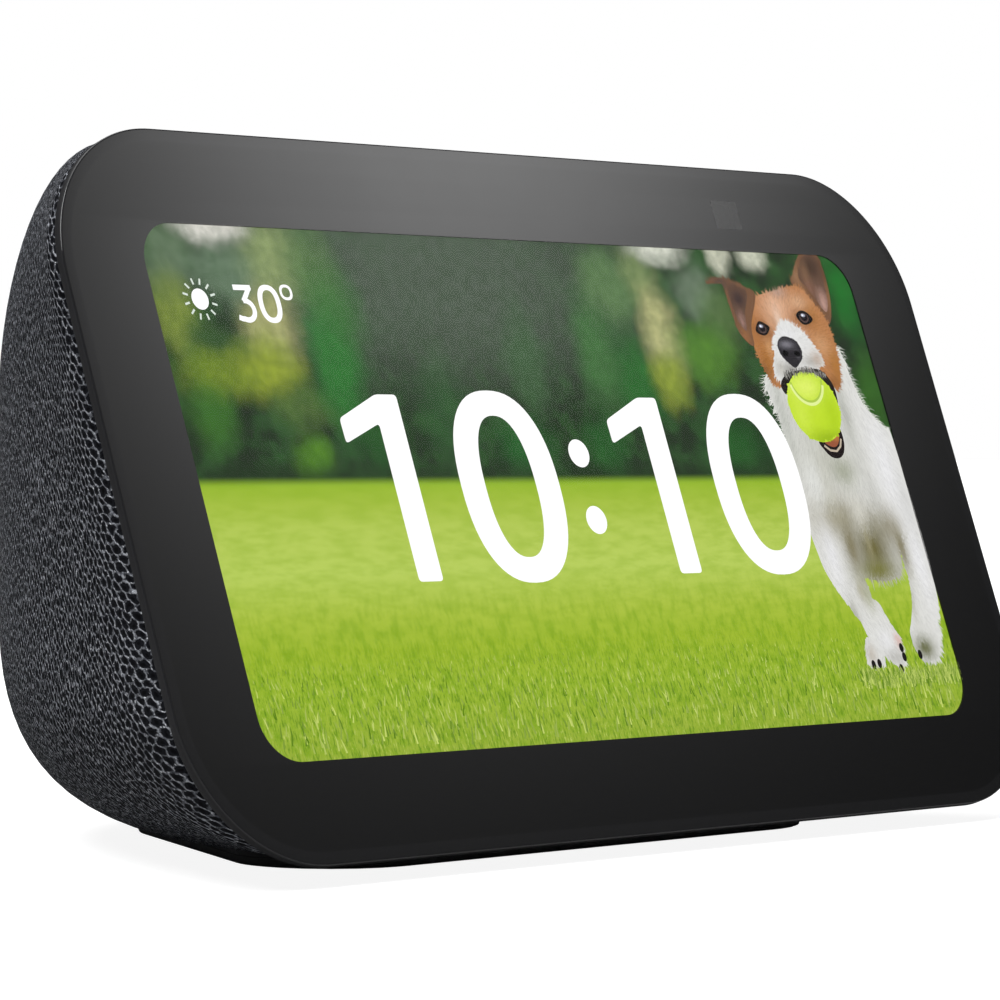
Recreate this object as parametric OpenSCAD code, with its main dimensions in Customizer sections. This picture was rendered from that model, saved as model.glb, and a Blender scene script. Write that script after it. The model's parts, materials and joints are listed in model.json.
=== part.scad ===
// Smart display: a tilted 5.5 inch touch screen on a fabric-covered speaker body.
// Millimetres. X points right, Y to the back and Z up. The origin is on the surface
// that the foot stands on, in the middle of the width and of the depth.

/* [Screen] */
// Width of the cover glass
glass_w = 147; // [144:1:150]
// Height of the cover glass along its slope
glass_h = 84.5; // [83:0.5:86]
// Thickness of the cover glass
glass_t = 1.1; // [0.9:0.1:1.2]
// Radius of the glass corners
glass_r = 17.5; // [15:0.5:20]
// Lean of the screen back from upright, in degrees
tilt = 19.75; // [18:0.25:21]
// Height of the middle of the display above the surface
screen_z = 42.4; // [42.2:0.1:42.8]
// Width of the lit area
display_w = 123.4; // [120:0.2:124]
// Height of the lit area
display_h = 61.8; // [60:0.2:62]

/* [Body] */
// Depth from the lowest front edge to the back
body_d = 90.7; // [90:0.1:92]
// Thickness of the knitted cover
fabric_t = 0.9; // [0.6:0.1:1]
// Wall of the rear shell
shell_t = 2.2; // [2:0.1:2.4]
// Width of the fabric-covered body where it meets the screen frame
rim_w = 144.6; // [143:0.2:145]
// Height of the fabric-covered body where it meets the screen frame
rim_h = 82.4; // [81:0.2:83]

/* [Foot] */
// Thickness of the rubber foot
foot_t = 1; // [0.8:0.1:1]
// Widest part of the foot
foot_w = 90.4; // [86:0.4:92]

/* [Controls] */
// Diameter of a button
button_d = 7.2; // [6.4:0.2:7.6]
// Travel of a button
button_travel = 0.5; // [0.3:0.1:0.5]
// Distance between neighbouring buttons
button_pitch = 14; // [13:0.5:15]
// Travel of the camera shutter
shutter_travel = 5.6; // [5:0.2:5.6]

/* [Speaker] */
// Radius of the speaker
speaker_r = 22; // [21:0.5:22]
// Height of the speaker axis
speaker_z = 45.5; // [45:0.5:45.5]
// Most that the cone moves to either side
cone_travel = 1; // [0.5:0.1:1.2]

/* [Power] */
// Bore radius of the power jack
jack_bore_r = 2.1; // [2:0.05:2.3]
// Radius of the pin in the power jack
jack_pin_r = 0.8; // [0.6:0.05:0.85]
// Height of the power jack
jack_z = 16; // [15.5:0.5:16.5]

/* [Hidden] */

// Small allowance that makes a cutter reach past the face that it cuts
past = 0.5;

// --- Places on the screen -------------------------------------------------
// Depths are measured inward from the outer face of the glass, along its normal.
front_y = -body_d / 2;
bevel_w = 1.5;
bevel_t = 0.38;
glass_shift = -0.15;
screen_y = front_y + (glass_h / 2 - glass_shift) * sin(tilt) - bevel_t * cos(tilt);
adhesive_t = 0.15;
frame_face = glass_t + adhesive_t;
rim_depth = 2.3;
glue_edge = 1.2;
lcd_w = 125.2;
lcd_top = 31.9;
lcd_bottom = 32.9;
lcd_gap = 0.4;
lcd_back = 2.9;
light_back = 4.7;
bracket_back = 5.3;
skirt_w = 134.4;
skirt_h = 75;
skirt_t = 1.5;
skirt_r = 12;
skirt_depth = 4.3;
boss_u = 64.7;
boss_v = 12;
boss_r = 1.9;

// --- Body surface ---------------------------------------------------------
rear_z = 30.7;
top_run = 16;
top_rise = 2.1;
back_rise = 59;
bottom_run = 53.3;
bottom_drop = 3.35;
back_drop = 33.9;
plan_in = 13.6;
plan_nose = 37.3;
rim_corner = 16.3;
handle_ease = 0.55;
rings = 20;
corner_steps = 10;
wall = fabric_t + shell_t;

// --- Foot and base --------------------------------------------------------
// Corners of the right half of the foot, from the front to the back, and their radii
foot_corners = [
    [foot_w / 2, front_y + 11.1], [foot_w / 2 - 1, front_y + 26.5], [foot_w / 4, front_y + 68.3]
];
foot_radii = [12, 10, 9];
foot_middle = [0, front_y + 40];
base_top = 3;
base_gap = 0.3;
base_screw_places = [[-30, -22], [30, -22], [-17, 12], [17, 12]];
magnet_x = [-12, 12];
magnet_y = -5;
magnet_r = 5;
magnet_z = 1.5;

// --- Controls -------------------------------------------------------------
strip_w = 94;
strip_back = -4;
strip_r = 4;
strip_gap = 0.15;
strip_under = 78;
key_y = -9.5;
key_top = 81.75;
key_gap = 0.15;
keys_x = [-button_pitch, 0, button_pitch];
mic_x = [-button_pitch * 1.5 - 3, button_pitch * 0.5];
board_top = 72.7;
board_t = 1.2;
switch_h = 2;
board_post_x = [-button_pitch * 2.2, button_pitch * 1.6];
post_r = 2;
post_bore_r = 0.8;

// --- Camera and shutter ---------------------------------------------------
camera_u = 40.2;
camera_v = 35.75;
blade_u = [27, 37.4];
blade_v = [33.4, 37.9];
blade_depth = 1.5;
blade_t = 0.3;
arm_w = 2.6;
knob_x = 31;
knob_y = -9.5;
stem = [3, 1.6];
carriage_z = [74.9, 76];
knob_cap = [8, 4];
slot_clear = 0.2;
recess_floor = 80;
// Room in the frame for the shutter and the camera, as u and v, and the wider room behind it
shutter_room = [[26.6, 44], [33, 38.4]];
camera_room = [[26.6, 48], [31, 40]];
camera_w = 6;
camera_h = 4.4;
camera_front = 2.4;
camera_back = 7;
camera_board_t = 0.8;

// --- Speaker, along Y from the back of the magnet to the flange -------------
flange_y = 30;
flange_t = 1.2;
back_plate_y = 11;
plate_t = 2;
magnet_t = 5;
coil_r = 6.9;
coil_t = 0.4;
cone_edge_r = 17;
box_y = [-7, flange_y - flange_t];
box_z = [22.5, 70];
box_t = 1.6;
box_clear = 1.1;
ear_r = 24.5;
cone_neck_y = flange_y - 5.5;
surround_r = 18.4;
wire_x = [-41, -39];
wire_z = 40;
wire_r = 0.5;
// Holes in the shell behind the cone: radius of each ring, and how many it has
speaker_hole_rings = [[0, 1], [6, 6], [12, 12]];

// --- Power ----------------------------------------------------------------
recess_y = 37.2;
recess_r = 5;
bezel_r = 6.3;
bezel_floor = 1.2;
jack_w = 8.6;
jack_back = 24.3;
barrel_r = 2.6;
// Where the open part of the socket ends, and the tip of its pin
bore_end_y = recess_y - 9.5;
pin_tip_y = recess_y - 0.6;
pin_root_w = 1.1;

// --- Main board, on the screen's slope --------------------------------------
main_front = 8;
main_back = main_front + board_t;
main_w = 92;
main_v = [-27, 17];
main_screw = [42, 13, -23];
chip_t = 1.2;
pad_t = 0.8;
spreader = [[-26, 14], [-16, 12]];
fin_pitch = 5;
flex_t = 0.25;
flex_depth = main_back + 0.8;
// Sockets on the main board: u, v and height
display_socket = [[-7, 7], [-26, -23], 0.8];
button_socket = [[-26, -18], [13.5, 16.5], 0.8];
camera_socket = [[33.5, 38.5], [12, 14.5], 0.8];
speaker_socket = [[-44, -37], [-1.5, 4.5], 3];
power_socket = [[-4, 4], [-22.5, -18.5], 3];

// ==========================================================================
// Shared shapes
// ==========================================================================

// Screen coordinates: x right, y up the slope, z out of the glass
module on_screen() {
    translate([0, screen_y, screen_z]) rotate([90 - tilt, 0, 0]) children();
}

// A box on the screen from one depth to a greater one
module screen_box(u, v, depth) {
    translate([u[0], v[0], -depth[1]]) cube([u[1] - u[0], v[1] - v[0], depth[1] - depth[0]]);
}

// A cylinder on the screen, along its normal
module screen_pin(u, v, r, depth) {
    translate([u, v, -depth[1]]) cylinder(r = r, h = depth[1] - depth[0], $fn = 48);
}

module rounded_rect(w, h, r, fn = 96) {
    difference() {
        square([w, h], center = true);
        for (sx = [-1, 1], sy = [-1, 1])
            translate([sx * w / 2, sy * h / 2]) square(2 * r, center = true);
    }
    for (sx = [-1, 1], sy = [-1, 1])
        translate([sx * (w / 2 - r), sy * (h / 2 - r)]) circle(r = r, $fn = fn);
}

// A plate with the outline of the glass, moved inward by inset
module glass_plate(inset, depth, fn = 96) {
    translate([0, glass_shift, -depth[1]])
        linear_extrude(depth[1] - depth[0])
            rounded_rect(glass_w - 2 * inset, glass_h - 2 * inset, glass_r - inset, fn);
}

// A cylinder along Y, from one place to another
module y_cylinder(r, from, to, x = 0, z = 0, fn = 64) {
    translate([x, to, z]) rotate([90, 0, 0]) cylinder(r = r, h = to - from, $fn = fn);
}

// A profile turned about the speaker's axis: points are [radius, y]
module about_speaker(points) {
    translate([0, 0, speaker_z]) rotate([-90, 0, 0]) rotate_extrude($fn = 72) polygon(points);
}

function unit(v) = v / norm(v);

// Points of an arc of radius r that rounds the corner c between its neighbours a and b
function fillet(a, c, b, r, steps) =
    let (
        to_a = unit(a - c),
        to_b = unit(b - c),
        half = acos(to_a * to_b) / 2,
        centre = c + unit(to_a + to_b) * r / sin(half),
        start = unit(c + to_a * r / tan(half) - centre),
        end = unit(c + to_b * r / tan(half) - centre)
    )
    [for (i = [0 : steps]) centre + r * unit(start * (steps - i) + end * i)];

// A closed outline whose corners are rounded by the radii given for them
function rounded(corners, radii, steps = 8) =
    let (n = len(corners))
    [for (i = [0 : n - 1]) each
        fillet(corners[(i + n - 1) % n], corners[i], corners[(i + 1) % n], radii[i], steps)];

function bezier(p, t) =
    pow(1 - t, 3) * p[0] + 3 * pow(1 - t, 2) * t * p[1]
    + 3 * (1 - t) * t * t * p[2] + pow(t, 3) * p[3];

// A place on the screen's middle line as [y, z]: v up the slope, at a depth
function on_middle(v, depth) = [
    screen_y + v * sin(tilt) + depth * cos(tilt),
    screen_z + v * cos(tilt) - depth * sin(tilt)
];

// How far back a plane parallel to the screen, at a depth, lies at height z
function screen_back(z, depth) = screen_y + (depth + (z - screen_z) * sin(tilt)) / cos(tilt);

// The body's top and bottom lines and its half width, from the rim to the rearmost point.
// inset moves all of them inward by a wall's thickness.
function rearmost(inset) = [body_d / 2 - inset, rear_z];
function top_line(inset) =
    let (a = on_middle(rim_h / 2 - inset, rim_depth), b = rearmost(inset), ease = handle_ease * inset)
    [a, a + [top_run - ease, top_rise], b + [0, back_rise - ease], b];
function bottom_line(inset) =
    let (a = on_middle(inset - rim_h / 2, rim_depth), b = rearmost(inset), ease = handle_ease * inset)
    [a, a + [bottom_run - ease, -bottom_drop], b - [0, back_drop - ease], b];
function plan_line(inset) = [
    rim_w / 2 - inset,
    rim_w / 2 - plan_in - inset,
    plan_nose - handle_ease * inset,
    0
];

// One quarter of a ring, as fractions of its half width and half height. The corner grows
// from the rim's round corner to the whole quarter at the back.
function quarter(side, t, inset) =
    let (
        grow_x = side > 0 ? pow(t, 2.6) : pow(t, 0.8),
        grow_z = pow(t, 1.05),
        fullness = side > 0 ? 2 - 0.2 * t : 2 + 1.25 * t,
        start_x = (rim_corner - inset) / (rim_w / 2 - inset),
        start_z = (rim_corner - inset) / (rim_h / 2 - inset),
        rx = start_x + (1 - start_x) * grow_x,
        rz = start_z + (1 - start_z) * grow_z
    )
    [for (i = [0 : corner_steps]) let (a = 90 * i / corner_steps) [
        1 - rx + rx * pow(max(cos(a), 0), 2 / fullness),
        side * (1 - rz + rz * pow(max(sin(a), 0), 2 / fullness))
    ]];

function ring_outline(t, inset) =
    let (up = quarter(1, t, inset), down = quarter(-1, t, inset), n = corner_steps)
    concat(
        up,
        [for (i = [n : -1 : 0]) [-up[i][0], up[i][1]]],
        [for (i = [0 : n]) [-down[i][0], down[i][1]]],
        [for (i = [n : -1 : 0]) down[i]]
    );

// The points of one ring
function ring(t, inset) =
    let (
        top = bezier(top_line(inset), t),
        bottom = bezier(bottom_line(inset), t),
        half_w = bezier(plan_line(inset), t),
        middle = (top + bottom) / 2,
        up = (top - bottom) / 2
    )
    [for (p = ring_outline(t, inset))
        [p[0] * half_w, middle[0] + p[1] * up[0], middle[1] + p[1] * up[1]]];

ring_n = 4 * (corner_steps + 1);

// Faces of a body surface whose points start at first, over m rings and a tip
function skin(m, first) = concat(
    [for (j = [0 : m - 2], i = [0 : ring_n - 1])
        let (a = first + j * ring_n + i, b = first + j * ring_n + (i + 1) % ring_n)
        each [[a, b, b + ring_n], [a, b + ring_n, a + ring_n]]],
    [for (i = [0 : ring_n - 1])
        [first + (m - 1) * ring_n + i, first + (m - 1) * ring_n + (i + 1) % ring_n, first + m * ring_n]]
);
function turned(faces) = [for (f = faces) [f[2], f[1], f[0]]];

function body_points(inset) = concat(
    [for (i = [0 : rings - 1]) each ring(i / rings, inset)],
    [[0, rearmost(inset)[0], rearmost(inset)[1]]]
);

// The body as one solid, moved inward by inset
module body_solid(inset) {
    cap = [[for (i = [ring_n - 1 : -1 : 0]) i]];
    polyhedron(body_points(inset), concat(cap, skin(rings, 0)), convexity = 6);
}

// The wall between two insets of the body, open at the rim
module body_wall(from, to) {
    m = rings * ring_n + 1;
    rim = [for (i = [0 : ring_n - 1]) let (k = (i + 1) % ring_n)
        each [[i, i + m, k + m], [i, k + m, k]]];
    polyhedron(
        concat(body_points(from), body_points(to)),
        concat(skin(rings, 0), turned(skin(rings, m)), rim),
        convexity = 10
    );
}

// The part of the top that the controls pass through; grow adds a gap all round
module strip_prism(grow = 0) {
    w = strip_w + 2 * grow;
    back = strip_back + grow;
    front = front_y;
    difference() {
        translate([-w / 2, front, strip_under - 8]) cube([w, back - front, 20]);
        for (s = [-1, 1])
            translate([s * w / 2, back, strip_under]) cube([2 * strip_r, 2 * strip_r, 30], center = true);
    }
    for (s = [-1, 1])
        translate([s * (w / 2 - strip_r), back - strip_r, strip_under - 8])
            cylinder(r = strip_r, h = 20, $fn = 48);
}

// Outline of the foot, moved inward by inset
module foot_outline(inset = 0) {
    left = [for (i = [2 : -1 : 0]) [-foot_corners[i][0], foot_corners[i][1]]];
    left_radii = [for (i = [2 : -1 : 0]) foot_radii[i]];
    shrink = 1 - inset / (foot_w / 2);
    translate(foot_middle) scale(shrink) translate(-foot_middle)
        polygon(rounded(concat(foot_corners, left), concat(foot_radii, left_radii)));
}

module foot_prism(inset, from, to) {
    translate([0, 0, from]) linear_extrude(to - from) foot_outline(inset);
}

// ==========================================================================
// Screen
// ==========================================================================

module cover_glass() {
    color([0.09, 0.09, 0.1]) on_screen() hull() {
        glass_plate(bevel_w, [0, 0.01]);
        glass_plate(0, [bevel_t, glass_t]);
    }
}

module lcd_window(depth) {
    gap = lcd_gap;
    screen_box([-lcd_w / 2 - gap, lcd_w / 2 + gap], [-lcd_bottom - gap, lcd_top + gap], depth);
}

// Room in the frame for the shutter, the camera and their movement
module shutter_window(depth) {
    screen_box(shutter_room[0], shutter_room[1], depth);
}

module glass_adhesive() {
    color([0.1, 0.1, 0.1]) on_screen() difference() {
        glass_plate(glue_edge, [glass_t, frame_face]);
        lcd_window([glass_t - past, frame_face + past]);
        shutter_window([glass_t - past, frame_face + past]);
    }
}

module front_frame() {
    color([0.13, 0.13, 0.14]) on_screen() difference() {
        union() {
            hull() {
                glass_plate(0.25, [glass_t, glass_t + 0.01]);
                glass_plate((glass_w - rim_w) / 2, [rim_depth - 0.3, rim_depth]);
            }
            difference() {
                translate([0, 0, -skirt_depth]) linear_extrude(skirt_depth - rim_depth + 0.2)
                    rounded_rect(skirt_w, skirt_h, skirt_r);
                translate([0, 0, -skirt_depth - past]) linear_extrude(skirt_depth)
                    rounded_rect(skirt_w - 2 * skirt_t, skirt_h - 2 * skirt_t, skirt_r - skirt_t);
            }
            for (u = [-boss_u, boss_u], v = [-boss_v, boss_v])
                screen_pin(u, v, boss_r, [rim_depth - 0.2, light_back]);
        }
        glass_plate(glue_edge, [0, frame_face]);
        lcd_window([0, skirt_depth + 1]);
        shutter_window([0, skirt_depth + 1]);
        screen_box(camera_room[0], camera_room[1], [rim_depth, skirt_depth + 1]);
        for (u = [-boss_u, boss_u], v = [-boss_v, boss_v]) screen_pin(u, v, 0.8, [frame_face + 0.4, 6]);
    }
}

module lcd_panel() {
    color([0.2, 0.35, 0.15]) on_screen()
        screen_box([-lcd_w / 2, lcd_w / 2], [-lcd_bottom + 0.6, lcd_top], [glass_t, lcd_back]);
}

module backlight() {
    color([0.85, 0.85, 0.82]) on_screen()
        screen_box([-lcd_w / 2, lcd_w / 2], [-lcd_bottom + 1, lcd_top], [lcd_back, light_back]);
}

module lcd_bracket() {
    color([0.7, 0.7, 0.72]) on_screen() difference() {
        union() {
            screen_box([-lcd_w / 2, lcd_w / 2], [-lcd_bottom + 1, lcd_top], [light_back, bracket_back]);
            for (s = [-1, 1], v = [-boss_v, boss_v]) {
                screen_pin(s * boss_u, v, boss_r, [light_back, bracket_back]);
                screen_box(s > 0 ? [60, boss_u] : [-boss_u, -60], [v - boss_r, v + boss_r],
                    [light_back, bracket_back]);
            }
            for (s = [-1, 1], v = [main_screw[1], main_screw[2]])
                screen_pin(s * main_screw[0], v, 2.5, [bracket_back - 0.3, main_front]);
        }
        for (s = [-1, 1], v = [-boss_v, boss_v]) screen_pin(s * boss_u, v, 1, [4, 6]);
        for (s = [-1, 1], v = [main_screw[1], main_screw[2]])
            screen_pin(s * main_screw[0], v, 1, [light_back - past, main_front + past]);
    }
}

// A screw with its head towards the back of the screen
module screen_screw(u, v, head_depth, length, r) {
    difference() {
        union() {
            screen_pin(u, v, 1.9 * r, [head_depth, head_depth + 1]);
            screen_pin(u, v, r, [head_depth - length, head_depth + 0.5]);
        }
        screen_pin(u, v, 0.7 * r, [head_depth + 0.4, head_depth + 1.5]);
    }
}

module bracket_screws() {
    color([0.3, 0.3, 0.32]) on_screen() for (u = [-boss_u, boss_u], v = [-boss_v, boss_v])
        screen_screw(u, v, bracket_back, 3.2, 0.75);
}

// ==========================================================================
// Body
// ==========================================================================

module jack_cutter(r) {
    y_cylinder(r, recess_y - bezel_floor - 0.6, body_d / 2 + 5, 0, jack_z);
}

module rear_shell() {
    color([0.16, 0.16, 0.17]) difference() {
        union() {
            body_wall(fabric_t, wall);
            // Bosses for the screws of the base
            intersection() {
                body_solid(fabric_t);
                for (p = base_screw_places) translate([p[0], p[1], 1]) cylinder(r = 3, h = 8, $fn = 48);
            }
            // Collar that leads the sound from the speaker to the holes
            intersection() {
                body_solid(fabric_t);
                difference() {
                    y_cylinder(speaker_r + 0.5, flange_y + 1.2, body_d / 2, 0, speaker_z);
                    y_cylinder(speaker_r - 1.5, flange_y, body_d / 2 + 5, 0, speaker_z);
                }
            }
        }
        strip_prism(strip_gap);
        foot_prism(base_gap, -1, base_top);
        for (p = base_screw_places) translate([p[0], p[1], 0]) cylinder(r = 1, h = 8.2, $fn = 32);
        jack_cutter(bezel_r);
        for (h = speaker_hole_rings, i = [0 : h[1] - 1]) {
            a = 360 * i / h[1];
            y_cylinder(1.5, flange_y + 4, body_d / 2 + 5, h[0] * cos(a), speaker_z + h[0] * sin(a), 24);
        }
    }
}

module fabric_cover() {
    color([0.12, 0.13, 0.15]) difference() {
        body_wall(0, fabric_t);
        strip_prism(strip_gap);
        foot_prism(base_gap, -1, base_top);
        jack_cutter(bezel_r);
    }
}

module base_plate() {
    color([0.15, 0.15, 0.16]) difference() {
        foot_prism(base_gap, foot_t, base_top);
        for (p = base_screw_places) translate([p[0], p[1], 0]) {
            cylinder(r = 2.2, h = 2.1, $fn = 48);
            cylinder(r = 1.2, h = 5, $fn = 48);
        }
        for (x = magnet_x) translate([x, magnet_y, magnet_z]) cylinder(r = magnet_r + 0.1, h = 5, $fn = 64);
    }
}

module rubber_foot() {
    color([0.2, 0.2, 0.21]) foot_prism(0, 0, foot_t);
}

module base_screws() {
    color([0.4, 0.4, 0.42]) for (p = base_screw_places) translate([p[0], p[1], 0]) difference() {
        union() {
            translate([0, 0, 1.1]) cylinder(r = 2, h = 1, $fn = 48);
            translate([0, 0, 2]) cylinder(r = 0.95, h = 5.8, $fn = 32);
        }
        translate([0, 0, 1]) cylinder(r = 0.8, h = 0.7, $fn = 6);
    }
}

module stand_magnets() {
    color([0.75, 0.76, 0.78]) for (x = magnet_x)
        translate([x, magnet_y, magnet_z]) cylinder(r = magnet_r, h = 1.4, $fn = 64);
}

// ==========================================================================
// Controls on the top strip
// ==========================================================================

// Room for a part of the knob, of a size in x and y, over its whole travel
module knob_slot(size, from, height) {
    translate([knob_x - size[0] / 2 - slot_clear, knob_y - size[1] / 2 - slot_clear, from])
        cube([size[0] + shutter_travel + 2 * slot_clear, size[1] + 2 * slot_clear, height]);
}

module control_strip() {
    color([0.13, 0.13, 0.14]) difference() {
        union() {
            intersection() {
                body_wall(0, wall);
                strip_prism(0);
            }
            // Posts that the button board hangs from
            for (x = board_post_x) translate([x, key_y, board_top])
                cylinder(r = post_r, h = strip_under + 1 - board_top, $fn = 48);
        }
        for (x = keys_x) translate([x, key_y, strip_under - 3])
            cylinder(r = button_d / 2 + key_gap, h = 10, $fn = 64);
        for (x = mic_x) translate([x, key_y, strip_under - 3]) cylinder(r = 0.5, h = 10, $fn = 24);
        // Shallow track for the shutter knob, and the slot for its stem
        knob_slot(knob_cap, recess_floor, 5);
        knob_slot(stem, strip_under - 3, 10);
        for (x = board_post_x) translate([x, key_y, board_top - past])
            cylinder(r = post_bore_r, h = 5, $fn = 24);
    }
}

// A key: its cap shows in the strip, its flange keeps it in, and its rod meets the switch
module key(x) {
    flange_top = strip_under - 0.7;
    rod_end = board_top + switch_h + button_travel + 0.1;
    translate([x, key_y, 0]) {
        translate([0, 0, flange_top - 0.8]) cylinder(r = button_d / 2 + 0.9, h = 0.8, $fn = 64);
        translate([0, 0, flange_top - 0.2])
            cylinder(r = button_d / 2, h = key_top - 0.3 - flange_top + 0.2, $fn = 64);
        translate([0, 0, key_top - 0.3])
            cylinder(r1 = button_d / 2, r2 = button_d / 2 - 0.3, h = 0.3, $fn = 64);
        translate([0, 0, rod_end]) cylinder(r = 1.2, h = flange_top - rod_end, $fn = 32);
    }
}

module mic_off_button() {
    color([0.1, 0.1, 0.11]) key(keys_x[0]);
}

module volume_down_button() {
    color([0.1, 0.1, 0.11]) key(keys_x[1]);
}

module volume_up_button() {
    color([0.1, 0.1, 0.11]) key(keys_x[2]);
}

module button_board() {
    color([0.05, 0.25, 0.12]) difference() {
        translate([board_post_x[0] - 3, key_y - 3.5, board_top - board_t])
            cube([board_post_x[1] - board_post_x[0] + 6, 8.5, board_t]);
        for (x = board_post_x) translate([x, key_y, board_top - 3]) cylinder(r = 0.9, h = 6, $fn = 32);
    }
}

module button_switches() {
    color([0.7, 0.7, 0.7]) for (x = keys_x) translate([x, key_y, board_top]) {
        translate([-2, -2, 0]) cube([4, 4, 1.4]);
        translate([0, 0, 1.3]) cylinder(r = 1, h = switch_h - 1.3, $fn = 32);
    }
}

module button_board_screws() {
    color([0.4, 0.4, 0.42]) for (x = board_post_x) translate([x, key_y, 0]) {
        translate([0, 0, board_top - board_t - 1]) cylinder(r = 1.5, h = 1, $fn = 32);
        translate([0, 0, board_top - board_t - 0.2]) cylinder(r = post_bore_r - 0.05, h = 4.4, $fn = 32);
    }
}

module microphones() {
    color([0.8, 0.75, 0.6]) for (x = mic_x)
        translate([x - 1.5, key_y - 1.2, board_top]) cube([3, 2.4, 1]);
}

module mic_boots() {
    color([0.2, 0.2, 0.2]) for (x = mic_x) translate([x, key_y, 0]) difference() {
        translate([0, 0, board_top + 1]) cylinder(r = 1.6, h = 3.9, $fn = 48);
        translate([0, 0, board_top]) cylinder(r = 0.5, h = 8, $fn = 24);
    }
}

// ==========================================================================
// Camera and shutter
// ==========================================================================

module shutter_knob() {
    color([0.1, 0.1, 0.11]) {
        difference() {
            translate([knob_x - knob_cap[0] / 2, knob_y - knob_cap[1] / 2, recess_floor + 0.15])
                cube([knob_cap[0], knob_cap[1], 1.35]);
            for (i = [-2 : 2]) translate([knob_x + 1.2 * i - 0.25, knob_y - 3, recess_floor + 1.2])
                cube([0.5, 6, 1]);
        }
        translate([knob_x - stem[0] / 2, knob_y - stem[1] / 2, carriage_z[1]])
            cube([stem[0], stem[1], recess_floor + 0.5 - carriage_z[1]]);
    }
}

module shutter_blade() {
    arm_u = blade_u[0] + 0.2;
    arm_v = [blade_v[1] - 0.9, blade_v[1] - 0.2];
    h = carriage_z[1] - carriage_z[0];
    color([0.75, 0.76, 0.78]) {
        on_screen() {
            screen_box(blade_u, blade_v, [blade_depth, blade_depth + blade_t]);
            screen_box([arm_u, arm_u + arm_w], arm_v, [blade_depth + 0.1, 6.9]);
        }
        // The carriage: a foot that meets the arm, and a bar under the knob's stem
        translate([arm_u - 0.1, -13.9, carriage_z[0]]) linear_extrude(h) polygon([
            [0, 0], [arm_w + 0.2, 0], [arm_w + 0.2, 2.7], [knob_x + 2.6 - arm_u, 2.7],
            [knob_x + 2.6 - arm_u, 5.6], [0, 5.6]
        ]);
    }
}

module camera_module() {
    color([0.15, 0.15, 0.16]) on_screen() difference() {
        union() {
            screen_box([camera_u - camera_w / 2, camera_u + camera_w / 2],
                [camera_v - camera_h / 2, camera_v + camera_h / 2], [camera_front, camera_back]);
            screen_pin(camera_u, camera_v, 1.9, [camera_front - 0.3, camera_front + 1]);
        }
        screen_pin(camera_u, camera_v, 1.2, [0, camera_front + 0.6]);
    }
}

module camera_lens() {
    color([0.1, 0.12, 0.2]) on_screen()
        screen_pin(camera_u, camera_v, 1.2, [camera_front - 0.1, camera_front + 0.6]);
}

module camera_board() {
    color([0.05, 0.25, 0.12]) on_screen()
        screen_box([camera_u - 3.8, camera_u + 9], [29.5, 36], [camera_back, camera_back + camera_board_t]);
}

module light_sensor() {
    color([0.8, 0.78, 0.7]) on_screen()
        screen_box([camera_u + 5.6, camera_u + 7.6], [32.6, 34.6], [camera_back - 0.8, camera_back]);
}

// ==========================================================================
// Electronics
// ==========================================================================

module main_board() {
    color([0.05, 0.28, 0.14]) on_screen() difference() {
        screen_box([-main_w / 2, main_w / 2], main_v, [main_front, main_back]);
        for (s = [-1, 1], v = [main_screw[1], main_screw[2]])
            screen_pin(s * main_screw[0], v, 1.1, [main_front - 1, main_back + 1]);
    }
}

module processor() {
    color([0.1, 0.1, 0.1]) on_screen() screen_box([-14, 0], [-8, 6], [main_back, main_back + chip_t]);
}

module memory_chips() {
    color([0.12, 0.12, 0.12]) on_screen() for (v = [-10, 2])
        screen_box([4, 13], [v, v + 8], [main_back, main_back + chip_t]);
}

module thermal_pad() {
    color([0.6, 0.65, 0.8]) on_screen()
        screen_box([-13, -1], [-7, 5], [main_back + chip_t, main_back + chip_t + pad_t]);
}

module heat_spreader() {
    start = main_back + chip_t + pad_t;
    color([0.75, 0.76, 0.78]) on_screen() {
        screen_box(spreader[0], spreader[1], [start, start + 0.8]);
        for (i = [0 : 7]) let (u = spreader[0][0] + fin_pitch * i)
            screen_box([u, u + 0.8], spreader[1], [start + 0.7, start + 2.4]);
    }
}

module radio_shield() {
    color([0.75, 0.75, 0.77]) on_screen() difference() {
        screen_box([22, 38], [-6, 8], [main_back, main_back + 2.2]);
        screen_box([22.3, 37.7], [-5.7, 7.7], [main_back - past, main_back + 1.9]);
    }
}

module board_screws() {
    color([0.4, 0.4, 0.42]) on_screen() for (s = [-1, 1], v = [main_screw[1], main_screw[2]])
        screen_screw(s * main_screw[0], v, main_back, 3.6, 0.95);
}

// Sockets for the display, buttons, camera, speaker and power
module board_connectors() {
    color([0.85, 0.82, 0.72]) on_screen()
        for (s = [display_socket, button_socket, camera_socket, speaker_socket, power_socket])
            screen_box(s[0], s[1], [main_back, main_back + s[2]]);
}

module display_flex() {
    far = flex_depth;
    color([0.75, 0.45, 0.1]) on_screen() {
        screen_box([-6, 6], [-lcd_bottom, -lcd_bottom + flex_t], [glass_t + 0.8, far + flex_t]);
        screen_box([-6, 6], [-lcd_bottom, -23.5], [far, far + flex_t]);
    }
}

module button_flex() {
    far = flex_depth;
    end = on_middle(30, far);
    color([0.75, 0.45, 0.1]) {
        on_screen() screen_box([-25, -19], [14, 30.5], [far, far + flex_t]);
        translate([-25, end[0] - 0.1, end[1] - 0.3]) cube([6, flex_t, board_top - board_t - end[1] + 0.3]);
    }
}

module camera_flex() {
    far = flex_depth;
    strip_u = [camera_u - 3, camera_u - 1];
    color([0.75, 0.45, 0.1]) on_screen() {
        screen_box(strip_u, [12.5, 31], [far, far + flex_t]);
        screen_box(strip_u, [31 - flex_t, 31], [camera_back + camera_board_t, far + flex_t]);
    }
}

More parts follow.
